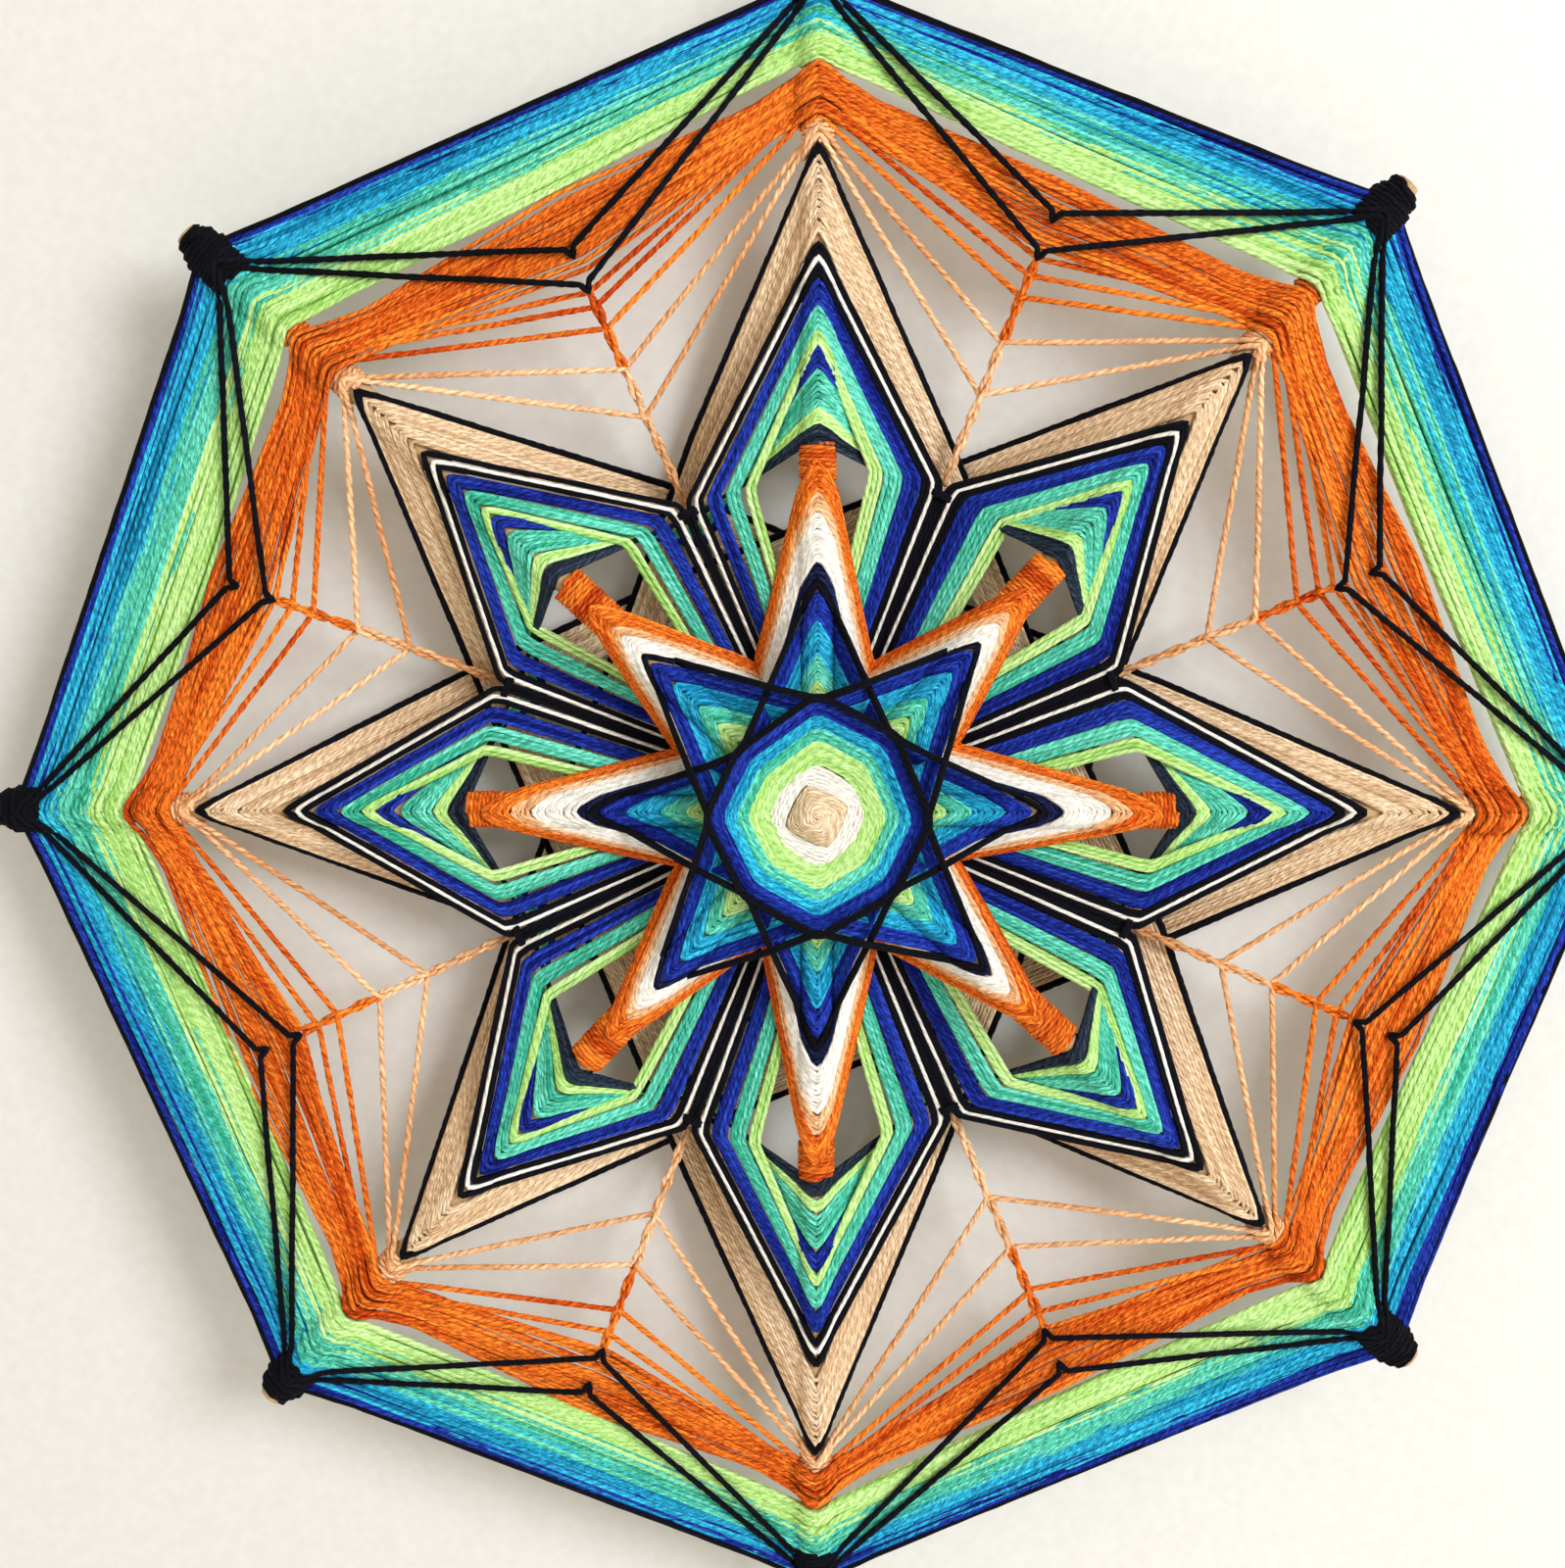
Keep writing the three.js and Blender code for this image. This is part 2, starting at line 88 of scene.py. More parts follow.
# The rows cross some spokes nearer the eye than others.
STAR_CROSSING = (1.0, 0.93, 0.91, 0.87, 0.95, 0.865, 0.89, 0.85)
STAR_REACH = (1.05, 1.055, 1.03, 1.035, 1.1, 1.085, 1.045, 1.055)
# A star row's tips lie further out than where it crosses the spokes between them: first tip and step.
STAR_TIPS = {
    "lime": (23.0, 1.25),
    "mint": (34.2, 1.05),
    "turquoise": (40.4, 1.3),
    "royal_blue": (49.4, 1.15),
    "black": (57.4, 1.6),
}
SPIKE_ROWS = {
    "navy": (60.4, 1.3, 2),
    "white": (64.9, 1.05, 12),
    "peach": (77.6, 1.1, 5),
    "orange": (82.8, 0.85, 9),
}
# The spikes on the front cross begin nearer the hub: first row and step.
FRONT_SPIKES = {
    "navy": (62.6, 0.6),
    "white": (64.8, 0.6),
    "peach": (71.8, 0.8),
    "orange": (75.6, 0.9),
}
# The turns heap up, so each colour stands further off the stick than the one before.
SPIKE_CLEAR = {"navy": 0.65, "white": 1.0, "peach": 1.5, "orange": 1.9}
# Beyond its last row each spike is a plain wrapped stick. This is where that begins and ends, on the rear
# cross and on the front one.
SPIKE_ENDS = ((84.0, 94.0), (75.5, 92.4))
# On the rear cross the navy yarn also goes round each stick as a cap beyond the star's point.
SPIKE_CAP = (57.8, 64.6)
CHEVRON_ROWS = {
    "slate": (94.6, 0.95, 5),
    "lime": (99.4, 1.0, 4),
    "mint": (103.5, 1.4, 7),
    "royal_blue": (113.6, 1.45, 4),
}
PETAL_ROWS = {
    "lime": (119.4, 1.2, 3),
    "mint": (123.2, 1.5, 4),
    "royal_blue": (129.2, 1.65, 4),
    "black_inside": (136.4, 1.5, 2),
    "white": (139.8, 1.6, 1),
    "black_outside": (141.8, 1.4, 2),
}
# How far beside the middle of the gap each colour's first and last rows turn in to the hub.
PETAL_INWARD = {
    "lime": (19.2, 16.6),
    "mint": (15.0, 11.4),
    "royal_blue": (10.1, 6.5),
    "black_inside": (5.2, 4.0),
    "white": (2.9, 2.9),
    "black_outside": (1.8, 0.8),
}
TAN_ROWS = (147.4, 1.56, 12)
TAN_OUTLINE = (165.6, 1.4, 2)
TAN_TIP = 167.0
# Room between the tan star's tips and the first row outside them.
TAN_ROOM = 1.5
BAND_CORNER = (193.0, 183.5, 187.5, 183.5, 195.0, 187.0, 183.2, 183.0)
# Each web row's place on its spokes, as a share of the room outside the tan star, and how far out it hooks.
WEB_PEACH = ((0.06, 117.0), (0.16, 131.0))
WEB_ORANGE = ((0.3, 143.0), (0.45, 149.0), (0.6, 153.5))
WEB_BASE = 92.0
# The first and last shares of that room for the peach wraps and for the band.
PEACH_WRAP = (-0.02, 0.3)
BAND_SHARES = (0.3, 0.96)
BAND_ROWS = 22
RING_INNER = (193.6, 185.4, 188.0, 186.4, 196.0, 187.6, 185.0, 184.2)
RING_OUTER = (213.9, 213.9, 213.9, 213.9, 217.5, 213.9, 213.9, 213.9)
# The ring's rows from the inside out, each by the letter of its colour.
RING_ORDER = "LLLLLLLLLLLLLMLLMLMMMMMMMTMMTMMTTTTTTTRTTRTRRRKK"
RING_LETTERS = {"lime": "L", "mint": "M", "turquoise": "T", "royal_blue": "R", "black": "K"}


def linear(code):
    """A hex sRGB colour as linear red, green and blue."""
    channels = [int(code[place:place + 2], 16) / 255 for place in (1, 3, 5)]
    return tuple(c / 12.92 if c <= 0.04045 else ((c + 0.055) / 1.055) ** 2.4 for c in channels)


def colour(name, description, code):
    """One colour that a user may change."""
    return bpy.props.FloatVectorProperty(
        name=name, description=description, subtype="COLOR", size=3, min=0, max=1, default=linear(code))


def length(name, description, millimetres):
    """One length that a user may change, given in millimetres and kept in metres."""
    return bpy.props.FloatProperty(
        name=name, description=description, unit="LENGTH", default=millimetres * MM)


def bearing(name, description, degrees):
    """One angle that a user may change."""
    return bpy.props.FloatProperty(
        name=name, description=description, subtype="ANGLE", default=math.radians(degrees))


class OjoYarn(bpy.types.PropertyGroup):
    """Sizes of the yarn and how evenly it is wound."""
    dense: length("Close rows", "Yarn in the close-wound bands", 1.3)
    petal: length("Petal rows", "Yarn in the rows round the petals", 1.42)
    web: length("Web rows", "Yarn in the open web", 1.5)
    hook: length("Hook rows", "Doubled black yarn across the band", 1.62)
    ply_pitch: length("Ply pitch", "Length of one full twist of the two plies", 3.4)
    wander: length("Wander", "How far a row strays from its straight line", 0.3)
    skew: bearing("Cross skew", "Turn of the front cross from an even spacing", 2.2)


class OjoColours(bpy.types.PropertyGroup):
    """Colours of the yarn and the sticks."""
    black: colour("Black", "Near black with a blue cast", "#04050f")
    slate: colour("Slate", "Deepest chevron", "#1d2939")
    navy: colour("Navy", "First rows of the spikes", "#101640")
    royal_blue: colour("Royal blue", "Fourth colour of the rings", "#0f2598")
    turquoise: colour("Turquoise", "Third colour of the rings", "#14a2d4")
    mint: colour("Mint", "Second colour of the rings", "#4cd0b0")
    lime: colour("Lime", "First colour of the rings", "#bef088")
    white: colour("White", "Eye, spikes and petal line", "#faf6ec")
    tan: colour("Tan", "Eye and back star", "#eeca9f")
    peach: colour("Peach", "Spikes and web", "#fbb87e")
    orange: colour("Orange", "Spikes, web and band", "#f0640e")
    wood: colour("Wood", "Bare ends of the dowels", "#d8b382")


class OjoStage(bpy.types.PropertyGroup):
    """Camera and light."""
    camera_left: length("Camera to the left", "Sideways place of the camera", 3.5)
    camera_away: length("Camera distance", "From the wall plane to the camera", 600)
    camera_height: length("Camera height", "Above the middle of the eye", 82.4)
    camera_pitch: bearing("Camera pitch", "How far the camera looks down", 7.5)
    camera_yaw: bearing("Camera yaw", "How far the camera looks left", 0.57)
    lens: bpy.props.FloatProperty(
        name="Lens", description="Focal length in millimetres on a 36 mm frame", default=49.84)
    key_power: bpy.props.FloatProperty(
        name="Key light", description="Power of the soft light at the upper right",
        subtype="POWER", default=20.5)
    fill: bpy.props.FloatProperty(
        name="Fill", description="Strength of the even light from all round", default=0.62)


def place(angle, out, side, depth):
    """A point at a distance out from the hub, to the clockwise side of that line, in front of the wall."""
    across = out * math.sin(angle) + side * math.cos(angle)
    up = out * math.cos(angle) - side * math.sin(angle)
    return Vector((across, -depth, up))


def spoke_angle(spoke):
    """Direction of a spoke, clockwise from the top. The front cross carries the odd ones."""
    skew = bpy.context.scene.ojo_yarn.skew if spoke % 2 else 0
    return math.radians(spoke * SPOKE_DEGREES) - skew


def gap_angle(spoke):
    """Direction of the middle of the gap after a spoke."""
    return (spoke_angle(spoke) + spoke_angle(spoke + 1)) / 2


def axis_depth(spoke):
    """How far a spoke's stick stands in front of the wall."""
    return FRONT_DEPTH if spoke % 2 else REAR_DEPTH


def inner_corner(angle, out, depth, beyond, aside, forward):
    """Three points of a row that turns in a gap: before its corner, at it and after it."""
    return [
        place(angle, out + beyond, -aside, depth + forward),
        place(angle, out, 0, depth),
        place(angle, out + beyond, aside, depth + forward),
    ]


# Swing of the yarn as it goes round a stick, in degrees from the front. It comes up to the stick on a slant,
# goes round the back, and leaves on a slant over that turn, so that the rows meet in a point along the front.
ARRIVE = (-75, -50, -25, -8, 0)
ROUND_BACK = (35, 75, 115, 155, 205, 245, 285, 325)
LEAVE = (360, 368, 385, 410, 435)
# How far the slants stand off the stick, the share of the clearance that is kept round the back, the steepest
# fall of a slant, the least run that it falls over, and how rounded the point is.
SLANT_LIFT = 0.5
TIGHT = 0.6
STEEPEST = 4.0
LEAST_RUN = 1.0
POINTED = 0.4


def slant(spoke, out, point):
    """How far a row falls back along the spoke for each step to the side, on its way to a point."""
    angle = spoke_angle(spoke)
    point_out = point.x * math.sin(angle) + point.z * math.cos(angle)
    side = point.x * math.cos(angle) - point.z * math.sin(angle)
    return max(-STEEPEST, min(STEEPEST, (out - point_out) / max(LEAST_RUN, abs(side))))


def turn_round(spoke, out, clear, before, after, rounded=POINTED, lift=0.0):
    """One turn of yarn round a stick, on its way from one point to another."""
    points = []
    high = STICK_RADIUS + clear + SLANT_LIFT + lift
    low = STICK_RADIUS + clear * TIGHT
    falls = (slant(spoke, out, before), slant(spoke, out, after))
    parts = ((ARRIVE, high, falls[0]), (ROUND_BACK, low, sum(falls) / 2), (LEAVE, high, falls[1]))
    for swings, reach, fall in parts:
        for swing in swings:
            side = reach * math.sin(math.radians(swing))
            front = math.cos(math.radians(swing))
            spread = abs(side) if front > 0 else reach
            drop = fall * (math.hypot(spread, rounded) - rounded)
            points.append(place(spoke_angle(spoke), out - drop, side, axis_depth(spoke) + reach * front))
    return points


def wind(tips, reach, span, clear, stride=1, loose=0.0, heap=0.0, seed=1, rounded=None):
    """One unbroken strand: each row turns round every spoke once and steps out to the next row."""
    dice = random.Random(seed)
    stops = []
    for row, tip in enumerate(tips):
        following = tips[min(row + 1, len(tips) - 1)]
        for step in range(SPOKES):
            spoke = step * stride % SPOKES
            share = step / SPOKES
            out = reach(spoke, between((tip, following), share)) + dice.uniform(-loose, loose)
            stops.append((spoke, out, row + share, dice.uniform(0, heap)))
    stops.append((0, reach(0, tips[-1]), len(tips), 0.0))
    tops = [place(spoke_angle(spoke), out, 0, axis_depth(spoke)) for spoke, out, row, lift in stops]
    bends = []
    for number, (spoke, out, row, lift) in enumerate(stops[:-1]):
        bends.append(span(spoke, row, tops[number], tops[number + 1]))
    strand = []
    for number, (spoke, out, row, lift) in enumerate(stops):
        arriving = (bends[number - 1] or [tops[number - 1]])[-1] if number else None
        leaving = (bends[number] or [tops[number + 1]])[0] if number < len(bends) else None
        roundness = rounded[spoke % 2] if rounded else POINTED
        strand += turn_round(spoke, out, clear, arriving or leaving, leaving or arriving, roundness, lift)
        strand += bends[number] if number < len(bends) else []
    return strand


# Where yarn is wound close round a stick: points in one turn, and the step from turn to turn.
TURN_STOPS = 16
WRAP_STEP = 1.2


def coil(spoke, first, last, turns, clear):
    """Turns of yarn laid side by side round a stick, from one distance out to another."""
    points = []
    stops = round(turns * TURN_STOPS)
    reach = STICK_RADIUS + clear
    for stop in range(stops + 1):
        swing = math.tau * stop / TURN_STOPS
        out = first + (last - first) * stop / stops
        points.append(place(
            spoke_angle(spoke), out, reach * math.sin(swing), axis_depth(spoke) + reach * math.cos(swing)))
    return points


def between(ends, share):
    """A value part way from the first end to the last."""
    return ends[0] + (ends[1] - ends[0]) * share


def rows(first, step, count):
    """Evenly stepped rows."""
    return [first + step * number for number in range(count)]


def by_spoke(spoke, tip):
    """A row's reach on one spoke, with that spoke's own unevenness."""
    return tip * SPOKE_REACH[spoke % SPOKES]


def outside_tan(spoke, share):
    """A row's reach between the tan star's tip and the band's corner, as a share of that room."""
    inner = TAN_TIP * SPOKE_REACH[spoke % SPOKES] + TAN_ROOM
    return between((inner, BAND_CORNER[spoke % SPOKES]), share)


def in_ring(spoke, share):
    """A row's reach between the ring's inner and outer edges, as a share of that room."""
    return between((RING_INNER[spoke % SPOKES], RING_OUTER[spoke % SPOKES]), share)


def add_node(tree, kind, inputs=None, **settings):
    """Adds one node, sets it up, and fills or links its inputs. A node links by its first output."""
    node = tree.nodes.new(kind)
    for name, value in settings.items():
        setattr(node, name, value)
    for name, value in (inputs or {}).items():
        if isinstance(value, bpy.types.Node):
            value = value.outputs[0]
        if isinstance(value, bpy.types.NodeSocket):
            tree.links.new(value, node.inputs[name])
        else:
            node.inputs[name].default_value = value
    return node


# The yarn strays and its twist slips over lengths of some 20 mm, and it swells and thins over some 6 mm. The
# scales are in noise cells to the metre, the slip is in radians, and the slub is in shares of the yarn.
STRAY_SCALE = 45.0
TWIST_SLIP = 12.0
SLUB_SCALE = 160.0
SLUB = (0.84, 1.16)
PLIES = 2


def ply_phase(tree, along, around, pitch):
    """How far round the twist of its plies a place on the yarn lies, in radians."""
    turns = add_node(tree, "ShaderNodeMath", {0: along, 1: pitch}, operation="DIVIDE")
    twist = add_node(tree, "ShaderNodeMath", {0: turns, 1: math.tau}, operation="MULTIPLY")
    stray = add_node(
        tree, "ShaderNodeTexNoise", {"W": along, "Scale": STRAY_SCALE, "Detail": 1.0}, noise_dimensions="1D")
    slipped = add_node(tree, "ShaderNodeMath", {0: stray, 1: TWIST_SLIP, 2: twist}, operation="MULTIPLY_ADD")
    return add_node(tree, "ShaderNodeMath", {0: around, 1: PLIES, 2: slipped}, operation="MULTIPLY_ADD")


def yarn_tree():
    """The nodes that turn a path into twisted yarn. Its sizes are named inputs."""
    tree = bpy.data.node_groups.get("Wound yarn")
    if tree:
        return tree
    tree = bpy.data.node_groups.new("Wound yarn", "GeometryNodeTree")
    face = tree.interface
    face.new_socket("Path", in_out="INPUT", socket_type="NodeSocketGeometry")
    for name in ("Diameter", "Step", "Ply Pitch", "Relief", "Wander"):
        face.new_socket(name, in_out="INPUT", socket_type="NodeSocketFloat")
    face.new_socket("Sides", in_out="INPUT", socket_type="NodeSocketInt")
    face.new_socket("Material", in_out="INPUT", socket_type="NodeSocketMaterial")
    face.new_socket("Yarn", in_out="OUTPUT", socket_type="NodeSocketGeometry")
    given = add_node(tree, "NodeGroupInput").outputs
    along = add_node(tree, "GeometryNodeInputNamedAttribute", {"Name": "along"}).outputs["Attribute"]
    curve = add_node(tree, "GeometryNodeMeshToCurve", {"Mesh": given["Path"]})
    even = add_node(
        tree, "GeometryNodeResampleCurve", {"Curve": curve, "Length": given["Step"]}, mode="LENGTH")
    stray = add_node(
        tree, "ShaderNodeTexNoise", {"W": along, "Scale": STRAY_SCALE, "Detail": 1.0}, noise_dimensions="1D")
    centred = add_node(
        tree, "ShaderNodeVectorMath", {0: stray.outputs["Color"], 1: (0.5, 0.5, 0.5)}, operation="SUBTRACT")
    offset = add_node(tree, "ShaderNodeVectorMath", {0: centred, "Scale": given["Wander"]}, operation="SCALE")
    laid = add_node(tree, "GeometryNodeSetPosition", {"Geometry": even, "Offset": offset})
    radius = add_node(tree, "ShaderNodeMath", {0: given["Diameter"], 1: 0.5}, operation="MULTIPLY")
    ring = add_node(
        tree, "GeometryNodeCurvePrimitiveCircle", {"Resolution": given["Sides"], "Radius": radius})
    lap = add_node(tree, "GeometryNodeSplineParameter").outputs["Factor"]
    angle = add_node(tree, "ShaderNodeMath", {0: lap, 1: math.tau}, operation="MULTIPLY")
    profile = add_node(
        tree, "GeometryNodeStoreNamedAttribute", {"Geometry": ring, "Name": "around", "Value": angle},
        data_type="FLOAT", domain="POINT")
    slub = add_node(
        tree, "ShaderNodeTexNoise", {"W": along, "Scale": SLUB_SCALE, "Detail": 1.0}, noise_dimensions="1D")
    swell = add_node(tree, "ShaderNodeMapRange", {"Value": slub, 3: SLUB[0], 4: SLUB[1]})
    tube = add_node(
        tree, "GeometryNodeCurveToMesh",
        {"Curve": laid, "Profile Curve": profile, "Scale": swell, "Fill Caps": True})
    around = add_node(tree, "GeometryNodeInputNamedAttribute", {"Name": "around"}).outputs["Attribute"]
    phase = ply_phase(tree, along, around, given["Ply Pitch"])
    ridge = add_node(tree, "ShaderNodeMath", {0: phase}, operation="COSINE")
    height = add_node(
        tree, "ShaderNodeMath", {0: given["Relief"], 1: given["Diameter"]}, operation="MULTIPLY")
    rise = add_node(tree, "ShaderNodeMath", {0: ridge, 1: height}, operation="MULTIPLY")
    normal = add_node(tree, "GeometryNodeInputNormal")
    push = add_node(tree, "ShaderNodeVectorMath", {0: normal, "Scale": rise}, operation="SCALE")
    plied = add_node(tree, "GeometryNodeSetPosition", {"Geometry": tube, "Offset": push})
    across = add_node(tree, "ShaderNodeMath", {0: around}, operation="COSINE")
    up = add_node(tree, "ShaderNodeMath", {0: around}, operation="SINE")
    place_on = add_node(tree, "ShaderNodeCombineXYZ", {"X": across, "Y": up, "Z": along})
    kept = add_node(
        tree, "GeometryNodeStoreNamedAttribute", {"Geometry": plied, "Name": "yarn", "Value": place_on},
        data_type="FLOAT_VECTOR", domain="POINT")
    smooth = add_node(tree, "GeometryNodeSetShadeSmooth", {"Geometry": kept})
    real = add_node(tree, "GeometryNodeRealizeInstances", {"Geometry": smooth})
    dressed = add_node(
        tree, "GeometryNodeSetMaterial", {"Geometry": real, "Material": given["Material"]})
    add_node(tree, "NodeGroupOutput", {"Yarn": dressed})
    return tree


def bare_material(title, finish):
    """A new material whose shader has the finish's own values, with its tree and its shader."""
    material = bpy.data.materials.new(title)
    material.use_nodes = True
    shader = material.node_tree.nodes["Principled BSDF"]
    for name, value in finish.items():
        shader.inputs[name].default_value = value
    return material, material.node_tree, shader


# Tufts of fibre lie along the twist, about 0.5 mm wide and 2 mm long, coarser than real ones so that they
# show. Their cells are counted across a ply, both ways, and along a metre of yarn.
TUFT_CELLS = (1.3, 1.3, 480.0)
# A length of 110 mm or so keeps its own shade of the dye, so that neighbouring rows differ.
SPELL_SCALE = 9.0
# Painted shade: crevices between rows, up to a strand wide, are darkened in the colour itself beyond what the
# lamps' shading gives, as light sinks into the fuzz there.
PAINTED_CREVICE_WIDTH = 1.9
# The part of each pattern's values over which the shade changes.
GROOVE_RANGE = (-1.0, 0.4)
TUFT_RANGE = (0.33, 0.67)
SPELL_RANGE = (0.32, 0.68)
PAINTED_CREVICE_RANGE = (0.14, 0.76)
DYE_RANGE = (0.18, 0.82)
# How much darker the painted shade in the grooves between plies, the tufts, the slow changes of dye and the
# painted shade in the crevices between rows make the yarn.
PAINTED_GROOVE_SHADE = 0.38
TUFT_SHADE = 0.38
SPELL_SHADE = 0.17
PAINTED_CREVICE_SHADE = 0.7
# How much lighter the painted light on the backs of the plies and on the open rows makes them.
PAINTED_PLY_LIGHT = 1.06
PAINTED_OPEN_LIGHT = 1.05
# The share of the tufts in the paleness of the dye, and in the relief of the surface.
TUFT_IN_DYE = 0.42
TUFT_IN_RELIEF = 0.35
RELIEF_STRENGTH = 0.55
RELIEF_HEIGHT = 0.25
# How bright red, green and blue look. On pale yarn the painted shade of the grooves and crevices, and the
# tufts, show less than on dark yarn, as pale yarn scatters light within itself.
BRIGHTNESS = (0.21, 0.72, 0.07)
CONTRAST = (1.1, 0.3)
# The dye runs from a deeper to a paler tone, and the tones of dark yarn lie closer together.
SPREAD_LEAST = 0.1
SPREAD_RISE = 4.0
SPREAD_MOST = 0.32
DEEP_SPREAD = 0.75
DEEP_SHADE = 0.2
PALE_LIGHT = 0.08


def yarn_material(name):
    """Acrylic worsted yarn of two loosely twisted plies.

    It gives the eye a soft, matt strand with a slanting groove of painted shade every two millimetres or so
    and painted light on the backs of the plies, fine lengthwise fibres, a pale fuzz at its edges, painted
    shade in the crevices between rows, and slow changes of shade from length to length.
    """
    title = name.replace("_", " ").capitalize() + " acrylic yarn"
    material = bpy.data.materials.get(title)
    if material:
        return material
    tint = getattr(bpy.context.scene.ojo_colours, name)
    finish = {
        "Roughness": 0.92,
        "IOR": 1.48,
        "Specular IOR Level": 0.2,
        "Sheen Weight": 0.12,
        "Sheen Roughness": 0.5,
        "Sheen Tint": (*tint, 1),
    }
    material, tree, shader = bare_material(title, finish)
    yarn = add_node(tree, "ShaderNodeAttribute", attribute_name="yarn").outputs["Vector"]
    parts = add_node(tree, "ShaderNodeSeparateXYZ", {0: yarn}).outputs
    along = parts["Z"]
    around = add_node(tree, "ShaderNodeMath", {0: parts["Y"], 1: parts["X"]}, operation="ARCTAN2")
    phase = ply_phase(tree, along, around, bpy.context.scene.ojo_yarn.ply_pitch)
    ridge = add_node(tree, "ShaderNodeMath", {0: phase}, operation="COSINE")
    # Painted shade: the colour is darkened along the groove between the plies and lightened on their backs.
    ply = add_node(tree, "ShaderNodeMapRange", {"Value": ridge, 1: GROOVE_RANGE[0], 2: GROOVE_RANGE[1]})
    half = add_node(tree, "ShaderNodeMath", {0: phase, 1: 1 / PLIES}, operation="MULTIPLY")
    fibre_x = add_node(tree, "ShaderNodeMath", {0: half}, operation="COSINE")
    fibre_y = add_node(tree, "ShaderNodeMath", {0: half}, operation="SINE")
    on_ply = add_node(tree, "ShaderNodeCombineXYZ", {"X": fibre_x, "Y": fibre_y, "Z": along})
    stretched = add_node(tree, "ShaderNodeVectorMath", {0: on_ply, 1: TUFT_CELLS}, operation="MULTIPLY")
    fibre = add_node(tree, "ShaderNodeTexNoise", {"Vector": stretched, "Scale": 1.0, "Detail": 3.0})
    tuft = add_node(tree, "ShaderNodeMapRange", {"Value": fibre, 1: TUFT_RANGE[0], 2: TUFT_RANGE[1]})
    dye_noise = add_node(
        tree, "ShaderNodeTexNoise", {"W": along, "Scale": SPELL_SCALE, "Detail": 2.0}, noise_dimensions="1D")
    spell = add_node(
        tree, "ShaderNodeMapRange", {"Value": dye_noise, 1: SPELL_RANGE[0], 2: SPELL_RANGE[1]})
    # Painted shade: an ambient occlusion node darkens the colour in crevices between rows and lightens it a
    # little on open rows.
    painted_crevice_shade = add_node(tree, "ShaderNodeAmbientOcclusion", {"Distance": PAINTED_CREVICE_WIDTH * MM}, samples=6)
    bright = sum(weight * channel for weight, channel in zip(BRIGHTNESS, tint))
    contrast = between(CONTRAST, bright)
    # The groove and crevice entries are painted shade and painted light. The tufts and spells are the yarn's
    # own tone.
    shades = (
        (ply, (0, 1), 1 - PAINTED_GROOVE_SHADE * contrast, PAINTED_PLY_LIGHT),
        (tuft, (0, 1), 1 - TUFT_SHADE * contrast, 1 + TUFT_SHADE * contrast),
        (spell, (0, 1), 1 - SPELL_SHADE * contrast, 1 + SPELL_SHADE * contrast),
        (painted_crevice_shade.outputs["AO"], PAINTED_CREVICE_RANGE, 1 - PAINTED_CREVICE_SHADE * math.sqrt(contrast), PAINTED_OPEN_LIGHT),
    )
    level = 1.0
    for value, (low, high), dark, light in shades:
        shade = add_node(tree, "ShaderNodeMapRange", {"Value": value, 1: low, 2: high, 3: dark, 4: light})
        level = add_node(tree, "ShaderNodeMath", {0: level, 1: shade}, operation="MULTIPLY")
    spread = min(SPREAD_MOST, SPREAD_LEAST + SPREAD_RISE * bright)
    deep = [channel ** (1 + DEEP_SPREAD * spread) * (1 - DEEP_SHADE * contrast) for channel in tint]
    pale = [min(1.0, channel ** (1 - spread) * (1 + PALE_LIGHT * contrast)) for channel in tint]
    paleness = add_node(
        tree, "ShaderNodeMix", {"Factor": TUFT_IN_DYE, "A": spell, "B": tuft}, data_type="FLOAT")
    dye = add_node(
        tree, "ShaderNodeMapRange",
        {"Value": paleness.outputs["Result"], 1: DYE_RANGE[0], 2: DYE_RANGE[1]})
    dyed = add_node(
        tree, "ShaderNodeMix", {"Factor": dye, "A": (*deep, 1), "B": (*pale, 1)}, data_type="RGBA")
    shaded = add_node(
        tree, "ShaderNodeVectorMath", {0: dyed.outputs["Result"], "Scale": level}, operation="SCALE")
    tree.links.new(shaded.outputs[0], shader.inputs["Base Color"])
    relief = add_node(
        tree, "ShaderNodeMath", {0: fibre, 1: TUFT_IN_RELIEF, 2: ply}, operation="MULTIPLY_ADD")
    bump = add_node(
        tree, "ShaderNodeBump",
        {"Height": relief, "Strength": RELIEF_STRENGTH, "Distance": RELIEF_HEIGHT * MM})
    tree.links.new(bump.outputs[0], shader.inputs["Normal"])
    return material


# The stick's length is laid along Z, so that grain 0.4 mm wide runs some 12 mm along it: cells to the metre.
GRAIN_CELLS = (2400.0, 2400.0, 80.0)
GRAIN_HEIGHT = 0.1
GRAIN_SHADES = (0.78, 1.08)
# Most of a noise's values lie in this middle part.
NOISE_MIDDLE = (0.3, 0.7)


